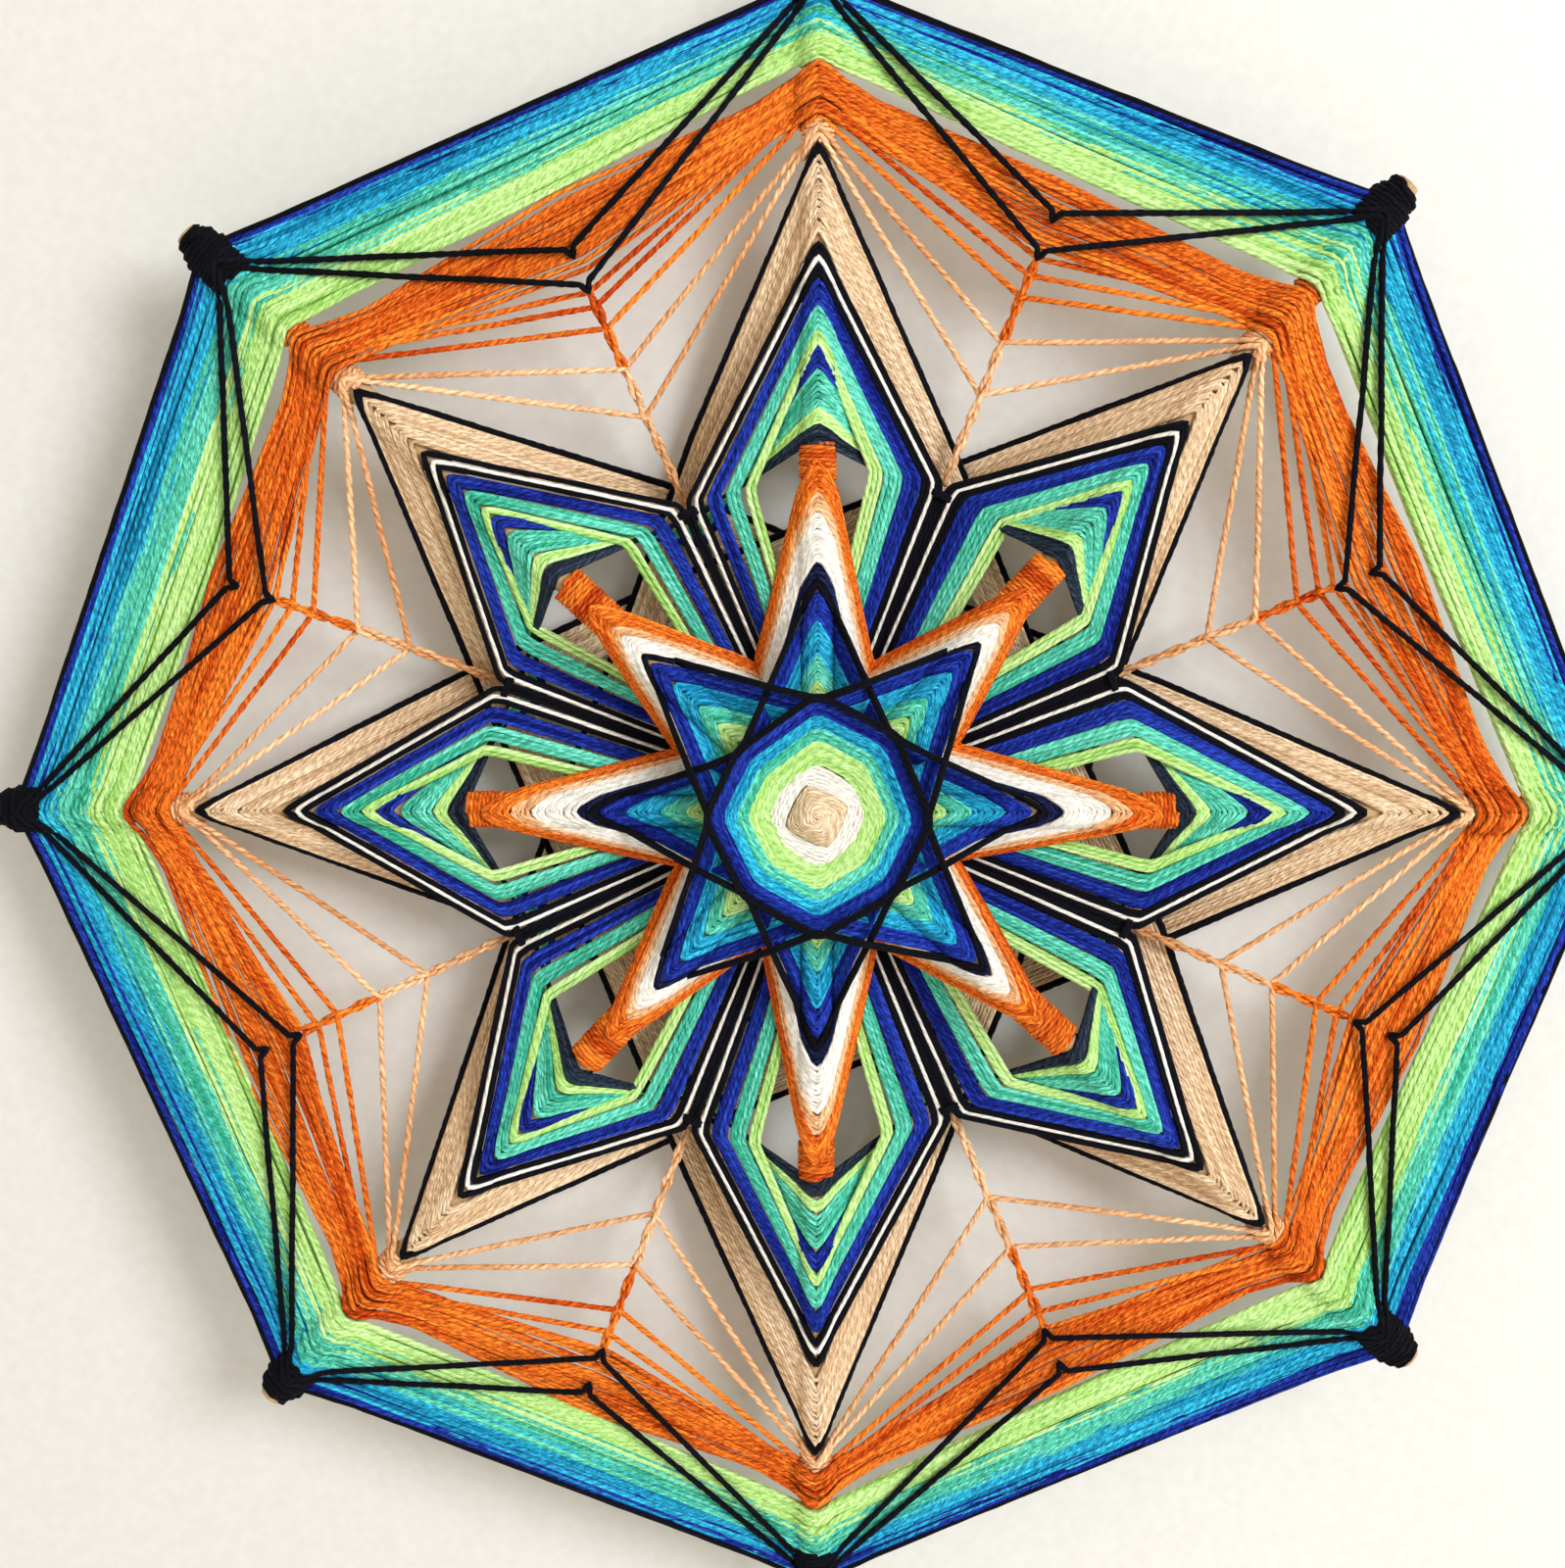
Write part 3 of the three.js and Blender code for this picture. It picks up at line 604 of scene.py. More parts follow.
def wood_material(node, turn):
    """Birch dowel, turned and left bare: pale, close-grained, with fine streaks along the stick."""
    tint = bpy.context.scene.ojo_colours.wood
    material, tree, shader = bare_material("Bare birch dowel " + node, {"Roughness": 0.7, "IOR": 1.5})
    where = add_node(tree, "ShaderNodeTexCoord").outputs["Object"]
    turned = add_node(tree, "ShaderNodeMapping", {"Vector": where, "Rotation": (0, turn, 0)})
    stretched = add_node(tree, "ShaderNodeVectorMath", {0: turned, 1: GRAIN_CELLS}, operation="MULTIPLY")
    grain = add_node(tree, "ShaderNodeTexNoise", {"Vector": stretched, "Scale": 1.0, "Detail": 3.0})
    low, high = NOISE_MIDDLE
    dark, light = GRAIN_SHADES
    streak = add_node(tree, "ShaderNodeMapRange", {"Value": grain, 1: low, 2: high, 3: dark, 4: light})
    shaded = add_node(tree, "ShaderNodeVectorMath", {0: tint, "Scale": streak}, operation="SCALE")
    tree.links.new(shaded.outputs[0], shader.inputs["Base Color"])
    bump = add_node(tree, "ShaderNodeBump", {"Height": grain, "Strength": 0.3, "Distance": GRAIN_HEIGHT * MM})
    tree.links.new(bump.outputs[0], shader.inputs["Normal"])
    return material


# How much of the measured length of yarn lies unused between one strand and the next.
STRAND_GAP = 10.0


def path_mesh(name, strands):
    """The paths as plain edges, with the distance along the yarn kept at each point."""
    points = []
    edges = []
    along = []
    travelled = 0.0
    for strand in strands:
        for number, point in enumerate(strand):
            if number:
                travelled += (point - strand[number - 1]).length * MM
                edges.append((len(points) - 1, len(points)))
            points.append(point * MM)
            along.append(travelled)
        travelled += STRAND_GAP * MM
    mesh = bpy.data.meshes.new(name)
    mesh.from_pydata(points, edges, [])
    mesh.attributes.new("along", "FLOAT", "POINT").data.foreach_set("value", along)
    return mesh, travelled


# The bake's strips of yarn: bare edge of the picture, room for a face that runs past a strip's end, margin
# beside each strip, and the strip's own width, the last two as shares of its room.
BAKE_EDGE = 0.004
STRIP_OVERRUN = 1.02
STRIP_MARGIN = 0.06
STRIP_WIDTH = 2 / 3


def lay_bake_strips(mesh, travelled, girth):
    """A UV map that lays the yarn in even strips side by side, so that a bake keeps its twist."""
    strips = max(1, math.ceil(math.sqrt(travelled / girth)))
    strip = travelled / strips
    yarn = np.empty(len(mesh.vertices) * 3)
    mesh.attributes["yarn"].data.foreach_get("vector", yarn)
    yarn = yarn.reshape(-1, 3)
    corners = np.empty(len(mesh.loops), dtype=int)
    mesh.loops.foreach_get("vertex_index", corners)
    starts = np.empty(len(mesh.polygons), dtype=int)
    mesh.polygons.foreach_get("loop_start", starts)
    totals = np.empty(len(mesh.polygons), dtype=int)
    mesh.polygons.foreach_get("loop_total", totals)
    face = np.repeat(np.arange(len(starts)), totals)
    along = yarn[corners, 2]
    around = np.arctan2(yarn[corners, 1], yarn[corners, 0]) / math.tau % 1.0
    first = np.minimum.reduceat(along, starts)[face]
    widest = np.maximum.reduceat(around, starts)[face]
    # Faces across the seam are carried on past it. The end caps have more than four corners and stay.
    around = np.where((widest - around > 0.5) & (totals[face] == 4), around + 1.0, around)
    number = np.floor(first / strip)
    run = np.clip((along - number * strip) / (strip * STRIP_OVERRUN), 0, 1)
    u = BAKE_EDGE + (1 - 2 * BAKE_EDGE) * run
    v = (np.clip(number, 0, strips) + STRIP_MARGIN + STRIP_WIDTH * around) / (strips + 1)
    mesh.uv_layers.new(name="OFBake")
    mesh.uv_layers["OFBake"].data.foreach_set("uv", np.stack((u, v), axis=1).ravel())


def make_yarn(node, tint, strands, diameter, step, sides=6, relief=0.0):
    """Makes one winding as a plain mesh, which stands for its CAD node."""
    sizes = bpy.context.scene.ojo_yarn
    mesh, travelled = path_mesh(node + "_path", strands)
    path = bpy.data.objects.new(node + "_path", mesh)
    bpy.context.scene.collection.objects.link(path)
    modifier = path.modifiers.new("Wound yarn", "NODES")
    modifier.node_group = yarn_tree()
    values = {
        "Diameter": diameter,
        "Step": step * MM,
        "Ply Pitch": sizes.ply_pitch,
        "Relief": relief,
        "Wander": sizes.wander,
        "Sides": sides,
        "Material": yarn_material(tint),
    }
    for item in modifier.node_group.interface.items_tree:
        if item.in_out == "INPUT" and item.name in values:
            modifier[item.identifier] = values[item.name]
    seen = path.evaluated_get(bpy.context.evaluated_depsgraph_get())
    plain = bpy.data.meshes.new_from_object(seen)
    bpy.data.objects.remove(path)
    bpy.data.meshes.remove(mesh)
    if not plain.polygons:
        raise RuntimeError("no yarn was made for " + node)
    lay_bake_strips(plain, travelled, math.pi * diameter)
    piece = bpy.data.objects.new(node + "_yarn", plain)
    bpy.context.scene.collection.objects.link(piece)
    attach(piece, "root")
    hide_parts(node)


STICK_TURNS = {
    "stick_upright": 0.0,
    "stick_level": math.pi / 2,
    "stick_rising": -math.pi / 4,
    "stick_falling": math.pi / 4,
}


class OJO_OT_dress_sticks(bpy.types.Operator):
    """Gives the four dowels their bare wood"""
    bl_idname = "ojo.dress_sticks"
    bl_label = "Dress the sticks"

    def execute(self, context):
        for node, turn in STICK_TURNS.items():
            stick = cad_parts[node]
            stick.data.materials.clear()
            stick.data.materials.append(wood_material(node, turn))
        return {"FINISHED"}


EYE_DEPTH = 38.3
# How far the eye's corners are turned from the upright, in degrees, and how square it is, where 1 is a sharp
# square and 2 a circle. Both are for the first tan row, the first white row and the last white row.
EYE_TURN = (-20.0, -18.0, -7.0)
EYE_SQUARE = (1.3, 1.2, 1.4)
EYE_DOME = 5.4
EYE_STOPS = 32
WHITE_THIN = 0.95


def cushion(tips, turns, squares, dome):
    """Rows of a rounded square that wind outward round the eye, the first ones highest."""
    points = []
    last = len(tips) - 1
    for row, tip in enumerate(tips):
        following = tips[min(row + 1, last)]
        for stop in range(EYE_STOPS):
            share = stop / EYE_STOPS
            progress = (row + share) / (last + 1)
            swing = math.tau * share
            power = between(squares, progress)
            girth = (abs(math.cos(swing)) ** power + abs(math.sin(swing)) ** power) ** (1 / power)
            turn = math.radians(between(turns, progress))
            depth = EYE_DEPTH + dome * (1 - progress ** 2)
            points.append(place(swing + turn, between((tip, following), share) / girth, 0, depth))
    return points


# Each star row lies a little higher than the last, and lies flat for a short way where it crosses a spoke.
# The black outline is lifted, thicker, and raised over the next point near each inner corner.
STAR_LIFT = 0.18
STAR_FLAT = 1.5
OUTLINE_LIFT = 2.0
OUTLINE_PLUMP = 1.1
OUTLINE_SHARE = 0.78
OUTLINE_RAISE = 2.4


def over_neighbour(tip, corner):
    """A place near an inner corner of the star where the outline is lifted over the next point."""
    spot = tip.lerp(corner, OUTLINE_SHARE)
    return spot - Vector((0, OUTLINE_RAISE, 0))


class OJO_OT_wind_star(bpy.types.Operator):
    """Winds the eye and the eight-pointed star round it"""
    bl_idname = "ojo.wind_star"
    bl_label = "Wind the star"

    def execute(self, context):
        dense = context.scene.ojo_yarn.dense
        clear = dense / MM / 2
        eye = cushion(rows(*EYE_ROWS), EYE_TURN[:2], EYE_SQUARE[:2], EYE_DOME)
        make_yarn("star_tan", "tan", [eye], dense, step=1.0, sides=8, relief=0.06)
        white = cushion(rows(*WHITE_EYE_ROWS), EYE_TURN[1:], EYE_SQUARE[1:], 0.0)
        make_yarn("star_white", "white", [white], dense * WHITE_THIN, step=1.0, sides=8, relief=0.06)
        before = 0
        for tint, (first, step, count) in STAR_ROWS.items():
            tip_first, tip_step = STAR_TIPS[tint]
            top = OUTLINE_LIFT if tint == "black" else 0.0

            def reach(spoke, crossing, first=first, step=step, tip_first=tip_first, tip_step=tip_step):
                return STAR_REACH[spoke % SPOKES] * (tip_first + tip_step * (crossing - first) / step)

            def span(spoke, row, start, end, first=first, step=step, begun=before, top=top):
                crossing = first + step * row
                depth = EYE_DEPTH + STAR_LIFT * (begun + row) + top
                points = []
                for passed in (spoke + 1, spoke + 2):
                    out = crossing * STAR_CROSSING[passed % SPOKES]
                    for side in (-STAR_FLAT, STAR_FLAT):
                        points.append(place(spoke_angle(passed), out, side, depth))
                if top:
                    return [over_neighbour(start, points[0]), *points, over_neighbour(end, points[-1])]
                return points

            strand = wind(rows(first, step, count), reach, span, clear, stride=3, loose=0.3, seed=10 + before)
            thick = dense * (OUTLINE_PLUMP if tint == "black" else 1.0)
            make_yarn("star_" + tint, tint, [strand], thick, step=1.4)
            before += count
        return {"FINISHED"}


# Where the first and last spike rows turn in the gaps, how deep, and the shape of that turn as inner_corner
# takes it. The points are more rounded on the rear cross than on the front one.
SPIKE_TURN = (30.5, 41.5)
SPIKE_TURN_DEPTH = (24.0, 17.5)
SPIKE_CORNER = (3.0, 2.2, 0.8)
SPIKE_ROUNDED = (3.5, 2.0)
SPIKE_CAP_CLEAR = 0.7
SPIKE_END_CLEAR = (0.7, 1.35)
SPIKE_END_BACK = 1.0


class OJO_OT_wind_spikes(bpy.types.Operator):
    """Winds the spikes that stand out from under the star"""
    bl_idname = "ojo.wind_spikes"
    bl_label = "Wind the spikes"

    def execute(self, context):
        dense = context.scene.ojo_yarn.dense
        total = sum(count for first, step, count in SPIKE_ROWS.values())
        before = 0
        for tint, (first, step, count) in SPIKE_ROWS.items():

            def span(spoke, row, start, end, begun=before):
                share = (begun + row) / total
                out = between(SPIKE_TURN, share)
                depth = between(SPIKE_TURN_DEPTH, share)
                return inner_corner(gap_angle(spoke), out, depth, *SPIKE_CORNER)

            def reach(spoke, tip, first=first, step=step, front=FRONT_SPIKES[tint]):
                on_front = front[0] + front[1] * (tip - first) / step
                return by_spoke(spoke, on_front if spoke % 2 else tip)

            strand = wind(
                rows(first, step, count), reach, span, SPIKE_CLEAR[tint], loose=0.25, seed=40 + before,
                rounded=SPIKE_ROUNDED)
            strands = [strand]
            if tint == "navy":
                for spoke in range(0, SPOKES, 2):
                    begin, end = [by_spoke(spoke, out) for out in SPIKE_CAP]
                    strands.append(coil(spoke, begin, end, (end - begin) / WRAP_STEP, SPIKE_CAP_CLEAR))
            if tint == "orange":
                for spoke in range(SPOKES):
                    begin, end = [by_spoke(spoke, out) for out in SPIKE_ENDS[spoke % 2]]
                    turns = (end - begin) / WRAP_STEP
                    strands.append(
                        coil(spoke, begin, end, turns, SPIKE_END_CLEAR[0])
                        + coil(spoke, end, begin + SPIKE_END_BACK, turns, SPIKE_END_CLEAR[1]))
            make_yarn("spike_" + tint, tint, strands, dense, step=1.8)
            before += count
        return {"FINISHED"}


# Where the first chevron row turns in the gaps, how far the later ones are drawn in, and the turn's shape.
CHEVRON_MIDDLE = 87.0
CHEVRON_DRAW = 0.32
CHEVRON_CORNER = (1.0, 2.0, 0.0)
CHEVRON_DEPTH = 9.8
CHEVRON_LIFT = 0.05


class OJO_OT_wind_chevrons(bpy.types.Operator):
    """Winds the chevrons that fill the inside of each petal"""
    bl_idname = "ojo.wind_chevrons"
    bl_label = "Wind the chevrons"

    def execute(self, context):
        dense = context.scene.ojo_yarn.dense
        before = 0
        for tint, (first, step, count) in CHEVRON_ROWS.items():

            def span(spoke, row, start, end, begun=before, first=first, step=step):
                drawn = (first + step * row - CHEVRON_ROWS["slate"][0]) * CHEVRON_DRAW
                out = (CHEVRON_MIDDLE - drawn) * GAP_REACH[spoke % SPOKES]
                depth = CHEVRON_DEPTH + CHEVRON_LIFT * (begun + row)
                return inner_corner(gap_angle(spoke), out, depth, *CHEVRON_CORNER)

            strand = wind(
                rows(first, step, count), by_spoke, span, dense / MM / 2, loose=0.25, seed=60 + before)
            make_yarn("chevron_" + tint, tint, [strand], dense, step=1.8)
            before += count
        return {"FINISHED"}


PETAL_CORNER = 90.5
PETAL_CORNER_DROP = 0.2
PETAL_CORNER_DEPTH = 22.5
PETAL_CORNER_RISE = 0.08
# Round the corner a row flares outside it, pinches inside it and comes forward at its outer end.
PETAL_BEND = 1.5
PETAL_FLARE = 0.6
PETAL_PINCH = 0.2
PETAL_FORWARD = 0.3
PETAL_HUB = 24.0
PETAL_HUB_INWARD = 0.55
PETAL_HUB_DEPTH = (9.0, 0.55)


class OJO_OT_wind_petals(bpy.types.Operator):
    """Winds the rows round the petals, in to the hub and out again"""
    bl_idname = "ojo.wind_petals"
    bl_label = "Wind the petals"

    def execute(self, context):
        petal = context.scene.ojo_yarn.petal
        for number, (tint, (first, step, count)) in enumerate(PETAL_ROWS.items()):

            def span(spoke, row, start, end, turns_in=PETAL_INWARD[tint], count=count):
                share = min(1, row / (count - 1)) if count > 1 else 0
                inward = between(turns_in, share)
                angle = gap_angle(spoke)
                out = PETAL_CORNER * GAP_REACH[spoke % SPOKES] - PETAL_CORNER_DROP * inward
                hub_depth = PETAL_HUB_DEPTH[0] + PETAL_HUB_DEPTH[1] * inward
                hub_side = inward * PETAL_HUB_INWARD
                corner_depth = PETAL_CORNER_DEPTH + PETAL_CORNER_RISE * inward
                way_in = [
                    (out + PETAL_BEND, inward + PETAL_FLARE, corner_depth + PETAL_FORWARD),
                    (out - PETAL_BEND, inward - PETAL_PINCH, corner_depth),
                    (PETAL_HUB, hub_side, hub_depth),
                ]
                points = [place(angle, away, -side, depth) for away, side, depth in way_in]
                return points + [place(angle, *spot) for spot in reversed(way_in)]

            strand = wind(
                rows(first, step, count), by_spoke, span, petal / MM / 2, loose=0.3, seed=80 + number)
            plain = tint.split("_inside")[0].split("_outside")[0]
            make_yarn("petal_" + tint, plain, [strand], petal, step=1.4)
        return {"FINISHED"}


# The star's runs lie at four levels, one behind the other. Each bends out at three places on its way.
TAN_LEVEL = 10.5
TAN_LEVEL_STEP = 2.1
TAN_LEVELS = 4
TAN_BENDS = (0.28, 0.5, 0.72)
TAN_BOW = 1.03
TAN_VALLEYS = (1.06, 1.06, 1.11, 1.1, 1.09, 1.08, 1.08, 1.09)


def tan_span(first, step):
    """A span for a tan-star row's run to the third spoke on. The outer rows bow out most."""
    def span(spoke, row, start, end):
        depth = TAN_LEVEL - TAN_LEVEL_STEP * (spoke % TAN_LEVELS)
        share = (first + step * row - TAN_ROWS[0]) / (TAN_TIP - TAN_ROWS[0])
        points = []
        for gap, part in enumerate(TAN_BENDS):
            valley = TAN_VALLEYS[(spoke + gap) % SPOKES]
            points.append(start.lerp(end, part) * between((TAN_BOW, valley), share))
        return [Vector((point.x, -depth, point.z)) for point in points]
    return span


class OJO_OT_wind_tan_star(bpy.types.Operator):
    """Winds the broad tan star at the back and its black outline"""
    bl_idname = "ojo.wind_tan_star"
    bl_label = "Wind the tan star"

    def execute(self, context):
        dense = context.scene.ojo_yarn.dense
        clear = dense / MM / 2
        span = tan_span(*TAN_ROWS[:2])
        strand = wind(rows(*TAN_ROWS), by_spoke, span, clear, stride=3, loose=0.4, seed=100)
        make_yarn("tan_star", "tan", [strand], dense, step=2.6)
        span = tan_span(*TAN_OUTLINE[:2])
        outline = wind(rows(*TAN_OUTLINE), by_spoke, span, clear, stride=3, loose=0.4, seed=101)
        web = context.scene.ojo_yarn.web
        make_yarn("tan_star_outline", "black", [outline], web, step=1.4, relief=0.05)
        return {"FINISHED"}


# The two strands of the chain that the web's hooks make in each gap twist round each other.
CHAIN_DEPTH = 15.0
CHAIN_RISE = 0.21
CHAIN_TWIST = 15.0
CHAIN_HALF = 0.75
CHAIN_STATIONS = 8
PEACH_WRAP_STEP = 1.3


def chain_depth(out):
    """How far the hooked chain in a gap stands in front of the wall."""
    return CHAIN_DEPTH + CHAIN_RISE * (out - WEB_BASE)


def hooked_rows(web, base):
    """A span for web rows that hook down the middle of each gap to the row before."""
    def span(spoke, row, start, end):
        number = min(int(row), len(web) - 1)
        top = web[number][1] * GAP_REACH[spoke % SPOKES]
        low = (web[number - 1][1] if number else base) * GAP_REACH[spoke % SPOKES]
        angle = gap_angle(spoke)
        points = []
        for way in (1, -1):
            for station in range(CHAIN_STATIONS + 1):
                share = station / CHAIN_STATIONS
                out = between((top, low), share if way > 0 else 1 - share)
                twist = math.tau * out / CHAIN_TWIST
                side = -CHAIN_HALF * way * math.cos(twist)
                lift = CHAIN_HALF * way * math.sin(twist)
                points.append(place(angle, out, side, chain_depth(out) + lift))
        return points
    return span


class OJO_OT_wind_web(bpy.types.Operator):
    """Winds the open web, whose rows hook on each other along the middle of each gap"""
    bl_idname = "ojo.wind_web"
    bl_label = "Wind the web"

    def execute(self, context):
        web = context.scene.ojo_yarn.web
        base = WEB_BASE
        for tint, table in (("peach", WEB_PEACH), ("orange", WEB_ORANGE)):
            strand = wind(
                [share for share, drawn in table], outside_tan, hooked_rows(table, base), web / MM / 2,
                loose=0.3, seed=120)
            strands = [strand]
            if tint == "peach":
                for spoke in range(SPOKES):
                    begin, end = [outside_tan(spoke, share) for share in PEACH_WRAP]
                    turns = (end - begin) / PEACH_WRAP_STEP
                    strands.append(coil(spoke, begin, end, turns, web / MM / 2))
            make_yarn("web_" + tint, tint, strands, web, step=1.1, sides=8, relief=0.09)
            base = table[-1][1]
        return {"FINISHED"}


# How far the band's first and last rows are drawn in, how far rows stray, and how they draw together beside
# a stick. Waves of straying turn by so many radians from spoke to spoke and from row to row.
BAND_PULL = (5.4, -0.4)
BAND_STRAY = 1.8
BAND_NECK = 2.0
BAND_NECK_SHARE = 0.12
BAND_WAVES = (7, 3)
BAND_WRAP_LEAST = 1.0
BAND_WRAP_ROOM = 0.5


def towards_hub(start, end, share, pull):
    """A place part way along a run between two spokes, drawn in towards the hub."""
    spot = start.lerp(end, share)
    return spot - Vector((spot.x, 0, spot.z)).normalized() * pull


def waver(waves, spoke, row):
    """A share between -1 and 1 by which one row strays beside one spoke."""
    return math.sin(waves[0] * spoke + waves[1] * row)


def drawn_in(spoke, row, start, end):
    """The band's rows draw together beside each stick, and are drawn in where the hook rows catch them."""
    part = row / BAND_ROWS
    neck = BAND_NECK * part
    pull = between(BAND_PULL, part) + BAND_STRAY * waver(BAND_WAVES, spoke, row)
    return [
        towards_hub(start, end, BAND_NECK_SHARE, neck),
        towards_hub(start, end, 0.5, pull),
        towards_hub(start, end, 1 - BAND_NECK_SHARE, neck),
    ]


class OJO_OT_wind_band(bpy.types.Operator):
    """Winds the orange band inside the ring"""
    bl_idname = "ojo.wind_band"
    bl_label = "Wind the band"

    def execute(self, context):
        dense = context.scene.ojo_yarn.dense
        inner, outer = BAND_SHARES
        shares = [inner + (outer - inner) * number / (BAND_ROWS - 1) for number in range(BAND_ROWS)]
        strands = [wind(shares, outside_tan, drawn_in, dense / MM / 2, loose=1.0, heap=2.2, seed=140)]
        for spoke in range(SPOKES):
            begin = outside_tan(spoke, outer)
            end = max(begin + BAND_WRAP_LEAST, RING_INNER[spoke] - BAND_WRAP_ROOM)
            strands.append(coil(spoke, begin, end, (end - begin) / WRAP_STEP, dense / MM / 2))
        make_yarn("band_orange", "orange", strands, dense, step=2.4)
        return {"FINISHED"}


# Each colour is shifted a little on each spoke. The rows inside RING_BOWED bow out, and the outer rows stray
# less and less towards the edge. The black edge lies closest.
RING_SEED = 158
RING_SHIFT = 1.0
RING_BOW = -0.5
RING_BOWED = 0.8
RING_BENDS = ((0.12, 2.0), (0.5, 1.0), (0.88, 2.0))
RING_STRAY = 0.9
RING_WAVES = (5, 3)
RING_STEADY = 4.0
RING_LOOSE = 1.0
RING_EDGE_LOOSE = 0.2
RING_UNDER = 1.3
RING_PLUMP = 1.12


def bowed(tips, stray, back):
    """A span for ring rows: the inner ones bow out between spokes, and the outer ones run straight."""
    def span(spoke, row, start, end):
        tip = tips[min(int(row), len(tips) - 1)]
        share = max(0.0, 1 - tip / RING_BOWED)
        strays = stray * waver(RING_WAVES, spoke, row) * min(1.0, RING_STEADY * (1 - tip))
        return [towards_hub(start, end, where, RING_BOW * share * bend + strays) + Vector((0, back, 0))
                for where, bend in RING_BENDS]
    return span


class OJO_OT_wind_ring(bpy.types.Operator):
    """Winds the outer ring, whose colours run into each other where they meet"""
    bl_idname = "ojo.wind_ring"
    bl_label = "Wind the ring"

    def execute(self, context):
        dense = context.scene.ojo_yarn.dense
        dice = random.Random(RING_SEED)
        for number, (tint, letter) in enumerate(RING_LETTERS.items()):
            most = 0.0 if tint == "black" else RING_SHIFT
            shift = [dice.uniform(-most, most) for spoke in range(SPOKES)]

            def reach(spoke, tip, shift=shift):
                return in_ring(spoke, tip) + shift[spoke % SPOKES]

            tips = [row / (len(RING_ORDER) - 1) for row, mark in enumerate(RING_ORDER) if mark == letter]
            loose = RING_EDGE_LOOSE if tint == "black" else RING_LOOSE
            clear = dense / MM / 2
            span = bowed(tips, RING_STRAY, 0.0)
            over = wind(tips, reach, span, clear, loose=loose, heap=1.0, seed=160 + number)
            # Every other row again, close behind, so that no light comes through the ring.
            behind = tips[::2]
            under = wind(behind, reach, bowed(behind, 0.0, RING_UNDER), clear)
            make_yarn("ring_" + tint, tint, [over, under], dense * RING_PLUMP, step=3.0)
        return {"FINISHED"}


# How much farther in from its end each stick is wrapped.
TIP_MORE = (0.0, 3.5, 0.0, 4.0, 0.0, 1.0, 1.0, 5.0)
# How far each hook row lies back from the ring's outer edge, and how far out it hooks in the gaps. Its corner
# lies a little nearer the hub than that.
HOOK_ROWS = {
    "hook_row_near": (2.4, 154.5),
    "hook_row_far": (0.7, 164.5),
}
HOOK_CLEAR = 2.5
HOOK_IN = 1.6
HOOK_DEPTH = 31.0
HOOK_CORNER = (2.4, 1.2, 2.0)


def under_wrap(spoke, back):
    """A hook row's reach, back from the ring's outer edge and farther in where the stick's wrap is longer."""
    return RING_OUTER[spoke % SPOKES] - back - TIP_MORE[spoke % SPOKES]


class OJO_OT_wind_hook_rows(bpy.types.Operator):
    """Winds the two black rows that reach over the ring and hook on the web"""
    bl_idname = "ojo.wind_hook_rows"
    bl_label = "Wind the hook rows"

    def execute(self, context):
        hook = context.scene.ojo_yarn.hook
        for node, (back, drawn) in HOOK_ROWS.items():

            def span(spoke, row, start, end, drawn=drawn):
                out = drawn * GAP_REACH[spoke % SPOKES] - HOOK_IN
                return inner_corner(gap_angle(spoke), out, HOOK_DEPTH, *HOOK_CORNER)

            strand = wind([back], under_wrap, span, HOOK_CLEAR, loose=0.4, seed=180)
            make_yarn(node, "black", [strand], hook, step=0.9, sides=8, relief=0.05)
        return {"FINISHED"}


TIE_TURNS = 2
TIE_WIDE = 2.6
TIE_THICK = 1.8
TIE_IN = 1.5
TIE_LONG = 1.6


class OJO_OT_tie_petals(bpy.types.Operator):
    """Ties neighbouring petals together at their corners"""
    bl_idname = "ojo.tie_petals"
    bl_label = "Tie the petals"

    def execute(self, context):
        dense = context.scene.ojo_yarn.dense
        for gap in range(SPOKES):
            angle = gap_angle(gap)
            middle = PETAL_CORNER * GAP_REACH[gap] - TIE_IN
            points = []
            stops = TIE_TURNS * TURN_STOPS
            for stop in range(stops + 1):
                swing = math.tau * stop / TURN_STOPS
                out = middle + TIE_LONG * (stop / stops - 0.5)
                side = TIE_WIDE * math.cos(swing)
                points.append(place(angle, out, side, PETAL_CORNER_DEPTH + TIE_THICK * math.sin(swing)))
            make_yarn("petal_tie_" + str(gap + 1), "black", [points], dense, step=0.9, sides=8, relief=0.09)
        return {"FINISHED"}


TIP_NAMES = ("north", "northeast", "east", "southeast", "south", "southwest", "west", "northwest")
TIP_PLUMP = 1.2
# Layers of turns, the last over the ring's corner: how far from the stick's end the first and the last turn
# lie, the number of turns, and the clearance.
TIP_LAYERS = ((12.4, 1.3, 9.0, 0.7), (3.4, 11.4, 7.0, 1.75), (12.0, 6.0, 5.0, 2.6))


class OJO_OT_wrap_tips(bpy.types.Operator):
    """Wraps the end of each stick in three layers of black yarn"""
    bl_idname = "ojo.wrap_tips"
    bl_label = "Wrap the tips"

    def execute(self, context):
        dense = context.scene.ojo_yarn.dense
        for spoke, name in enumerate(TIP_NAMES):
            points = []
            more = TIP_MORE[spoke]
            for first, last, turns, clear in TIP_LAYERS:
                begin = first + (more if first > last else 0)
                end = last + (more if last > first else 0)
                points += coil(spoke, STICK_REACH - begin, STICK_REACH - end, turns + more / WRAP_STEP, clear)
            make_yarn("tip_wrap_" + name, "black", [points], dense * TIP_PLUMP, step=1.1, relief=0.06)
        return {"FINISHED"}


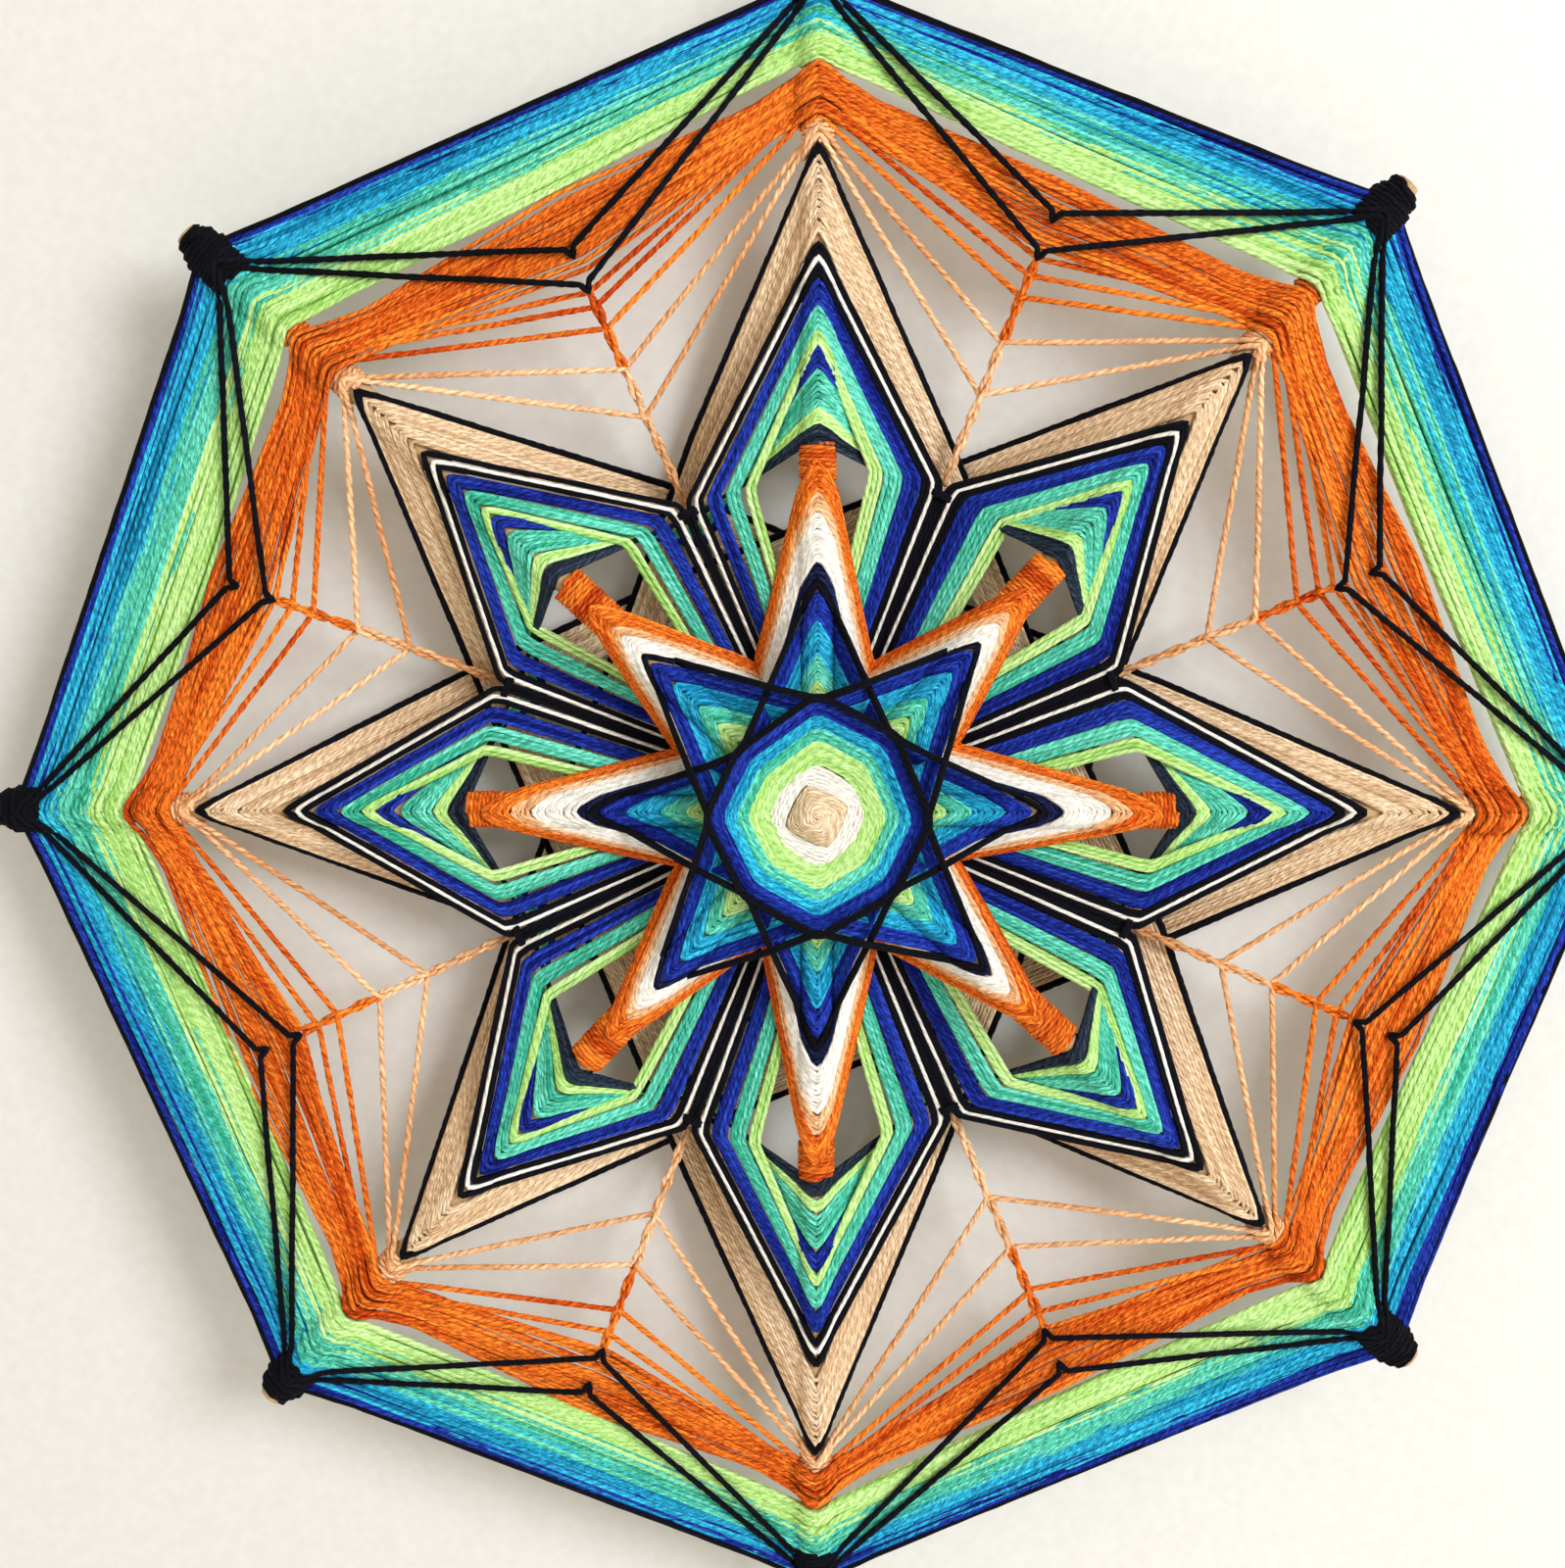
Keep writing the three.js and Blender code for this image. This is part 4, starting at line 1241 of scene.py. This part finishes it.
# The stage, in metres: half its width, the floor's height, the wall's place, the lamp's size and place, and
# the nearest that the camera sees.
STAGE_WIDE = 3.0
FLOOR_LOW = -0.6
WALL_BACK = 0.001
KEY_SIZE = 0.8
KEY_PLACE = Vector((1.0, -1.35, 0.55))
CAMERA_NEAR = 0.01
# Width of the camera's frame, for which the lens is given.
SENSOR_WIDTH = 36
# Fine rolled paint, about 3 mm from speck to speck: noise cells to the metre.
SPECK_SCALE = 330.0
SPECK_SHADES = (0.97, 1.02)


def stage_plane(name, corners, tint, through):
    """One flat sheet of the stage. One to see through is clear from behind and casts no shadow."""
    mesh = bpy.data.meshes.new(name)
    mesh.from_pydata(corners, [], [(0, 1, 2, 3)])
    sheet = bpy.data.objects.new(name, mesh)
    bpy.context.scene.collection.objects.link(sheet)
    material, tree, shader = bare_material(name + " paint", {"Roughness": 0.95, "Specular IOR Level": 0.1})
    where = add_node(tree, "ShaderNodeTexCoord").outputs["Object"]
    specks = add_node(tree, "ShaderNodeTexNoise", {"Vector": where, "Scale": SPECK_SCALE, "Detail": 2.0})
    low, high = NOISE_MIDDLE
    dark, light = SPECK_SHADES
    shade = add_node(tree, "ShaderNodeMapRange", {"Value": specks, 1: low, 2: high, 3: dark, 4: light})
    painted = add_node(tree, "ShaderNodeVectorMath", {0: linear(tint), "Scale": shade}, operation="SCALE")
    tree.links.new(painted.outputs[0], shader.inputs["Base Color"])
    if through:
        back = add_node(tree, "ShaderNodeNewGeometry").outputs["Backfacing"]
        shadow = add_node(tree, "ShaderNodeLightPath").outputs["Is Shadow Ray"]
        either = add_node(tree, "ShaderNodeMath", {0: back, 1: shadow}, operation="MAXIMUM")
        clear = add_node(tree, "ShaderNodeBsdfTransparent")
        mixed = add_node(tree, "ShaderNodeMixShader", {0: either, 1: shader, 2: clear})
        tree.links.new(mixed.outputs[0], tree.nodes["Material Output"].inputs["Surface"])
    mesh.materials.append(material)


class OJO_OT_set_stage(bpy.types.Operator):
    """Sets up the pale backdrop and floor, the soft light and the camera"""
    bl_idname = "ojo.set_stage"
    bl_label = "Set the stage"

    def execute(self, context):
        scene = context.scene
        stage = scene.ojo_stage
        scene.view_settings.view_transform = "Standard"
        wide = STAGE_WIDE
        low = FLOOR_LOW
        back = WALL_BACK
        stage_plane(
            "backdrop", [(-wide, back, low), (wide, back, low), (wide, back, wide), (-wide, back, wide)],
            "#f2f1ed", True)
        stage_plane(
            "floor", [(-wide, -wide, low), (wide, -wide, low), (wide, back, low), (-wide, back, low)],
            "#efece6", False)
        world = bpy.data.worlds.new("Even light")
        world.use_nodes = True
        sky = world.node_tree.nodes["Background"].inputs
        sky["Color"].default_value = (*linear("#fff6e8"), 1)
        sky["Strength"].default_value = stage.fill
        scene.world = world
        lamp = bpy.data.lights.new("Key light", "AREA")
        lamp.shape = "DISK"
        lamp.size = KEY_SIZE
        lamp.energy = stage.key_power
        lamp.color = linear("#f6faff")
        key = bpy.data.objects.new("Key light", lamp)
        key.location = KEY_PLACE
        key.rotation_euler = (-KEY_PLACE).to_track_quat("-Z", "Y").to_euler()
        scene.collection.objects.link(key)
        camera = bpy.data.cameras.new("Camera")
        camera.lens = stage.lens
        camera.sensor_width = SENSOR_WIDTH
        camera.sensor_fit = "AUTO"
        camera.clip_start = CAMERA_NEAR
        stand = bpy.data.objects.new("Camera", camera)
        stand.location = (-stage.camera_left, -stage.camera_away, stage.camera_height)
        stand.rotation_euler = (math.pi / 2 - stage.camera_pitch, 0, stage.camera_yaw)
        scene.collection.objects.link(stand)
        scene.camera = stand
        return {"FINISHED"}


OPERATORS = (
    OJO_OT_set_stage,
    OJO_OT_dress_sticks,
    OJO_OT_wind_star,
    OJO_OT_wind_spikes,
    OJO_OT_wind_chevrons,
    OJO_OT_wind_petals,
    OJO_OT_wind_tan_star,
    OJO_OT_wind_web,
    OJO_OT_wind_band,
    OJO_OT_wind_ring,
    OJO_OT_wind_hook_rows,
    OJO_OT_tie_petals,
    OJO_OT_wrap_tips,
)


class OJO_PT_sidebar(bpy.types.Panel):
    """Lists the steps of the ornament"""
    bl_label = "Ojo de dios"
    bl_space_type = "VIEW_3D"
    bl_region_type = "UI"
    bl_category = "Ojo de dios"

    def draw(self, context):
        for step in OPERATORS:
            self.layout.operator(step.bl_idname)


CLASSES = (OjoYarn, OjoColours, OjoStage, *OPERATORS, OJO_PT_sidebar)


def register():
    """Adds the settings, steps and panel to Blender."""
    for item in CLASSES:
        bpy.utils.register_class(item)
    bpy.types.Scene.ojo_yarn = bpy.props.PointerProperty(type=OjoYarn)
    bpy.types.Scene.ojo_colours = bpy.props.PointerProperty(type=OjoColours)
    bpy.types.Scene.ojo_stage = bpy.props.PointerProperty(type=OjoStage)


def unregister():
    """Takes them out again."""
    del bpy.types.Scene.ojo_stage
    del bpy.types.Scene.ojo_colours
    del bpy.types.Scene.ojo_yarn
    for item in reversed(CLASSES):
        bpy.utils.unregister_class(item)


def main():
    """Makes the whole ornament, one step after another."""
    register()
    bpy.ops.ojo.set_stage()
    bpy.ops.ojo.dress_sticks()
    bpy.ops.ojo.wind_star()
    bpy.ops.ojo.wind_spikes()
    bpy.ops.ojo.wind_chevrons()
    bpy.ops.ojo.wind_petals()
    bpy.ops.ojo.wind_tan_star()
    bpy.ops.ojo.wind_web()
    bpy.ops.ojo.wind_band()
    bpy.ops.ojo.wind_ring()
    bpy.ops.ojo.wind_hook_rows()
    bpy.ops.ojo.tie_petals()
    bpy.ops.ojo.wrap_tips()


if __name__ == "__main__":
    main()
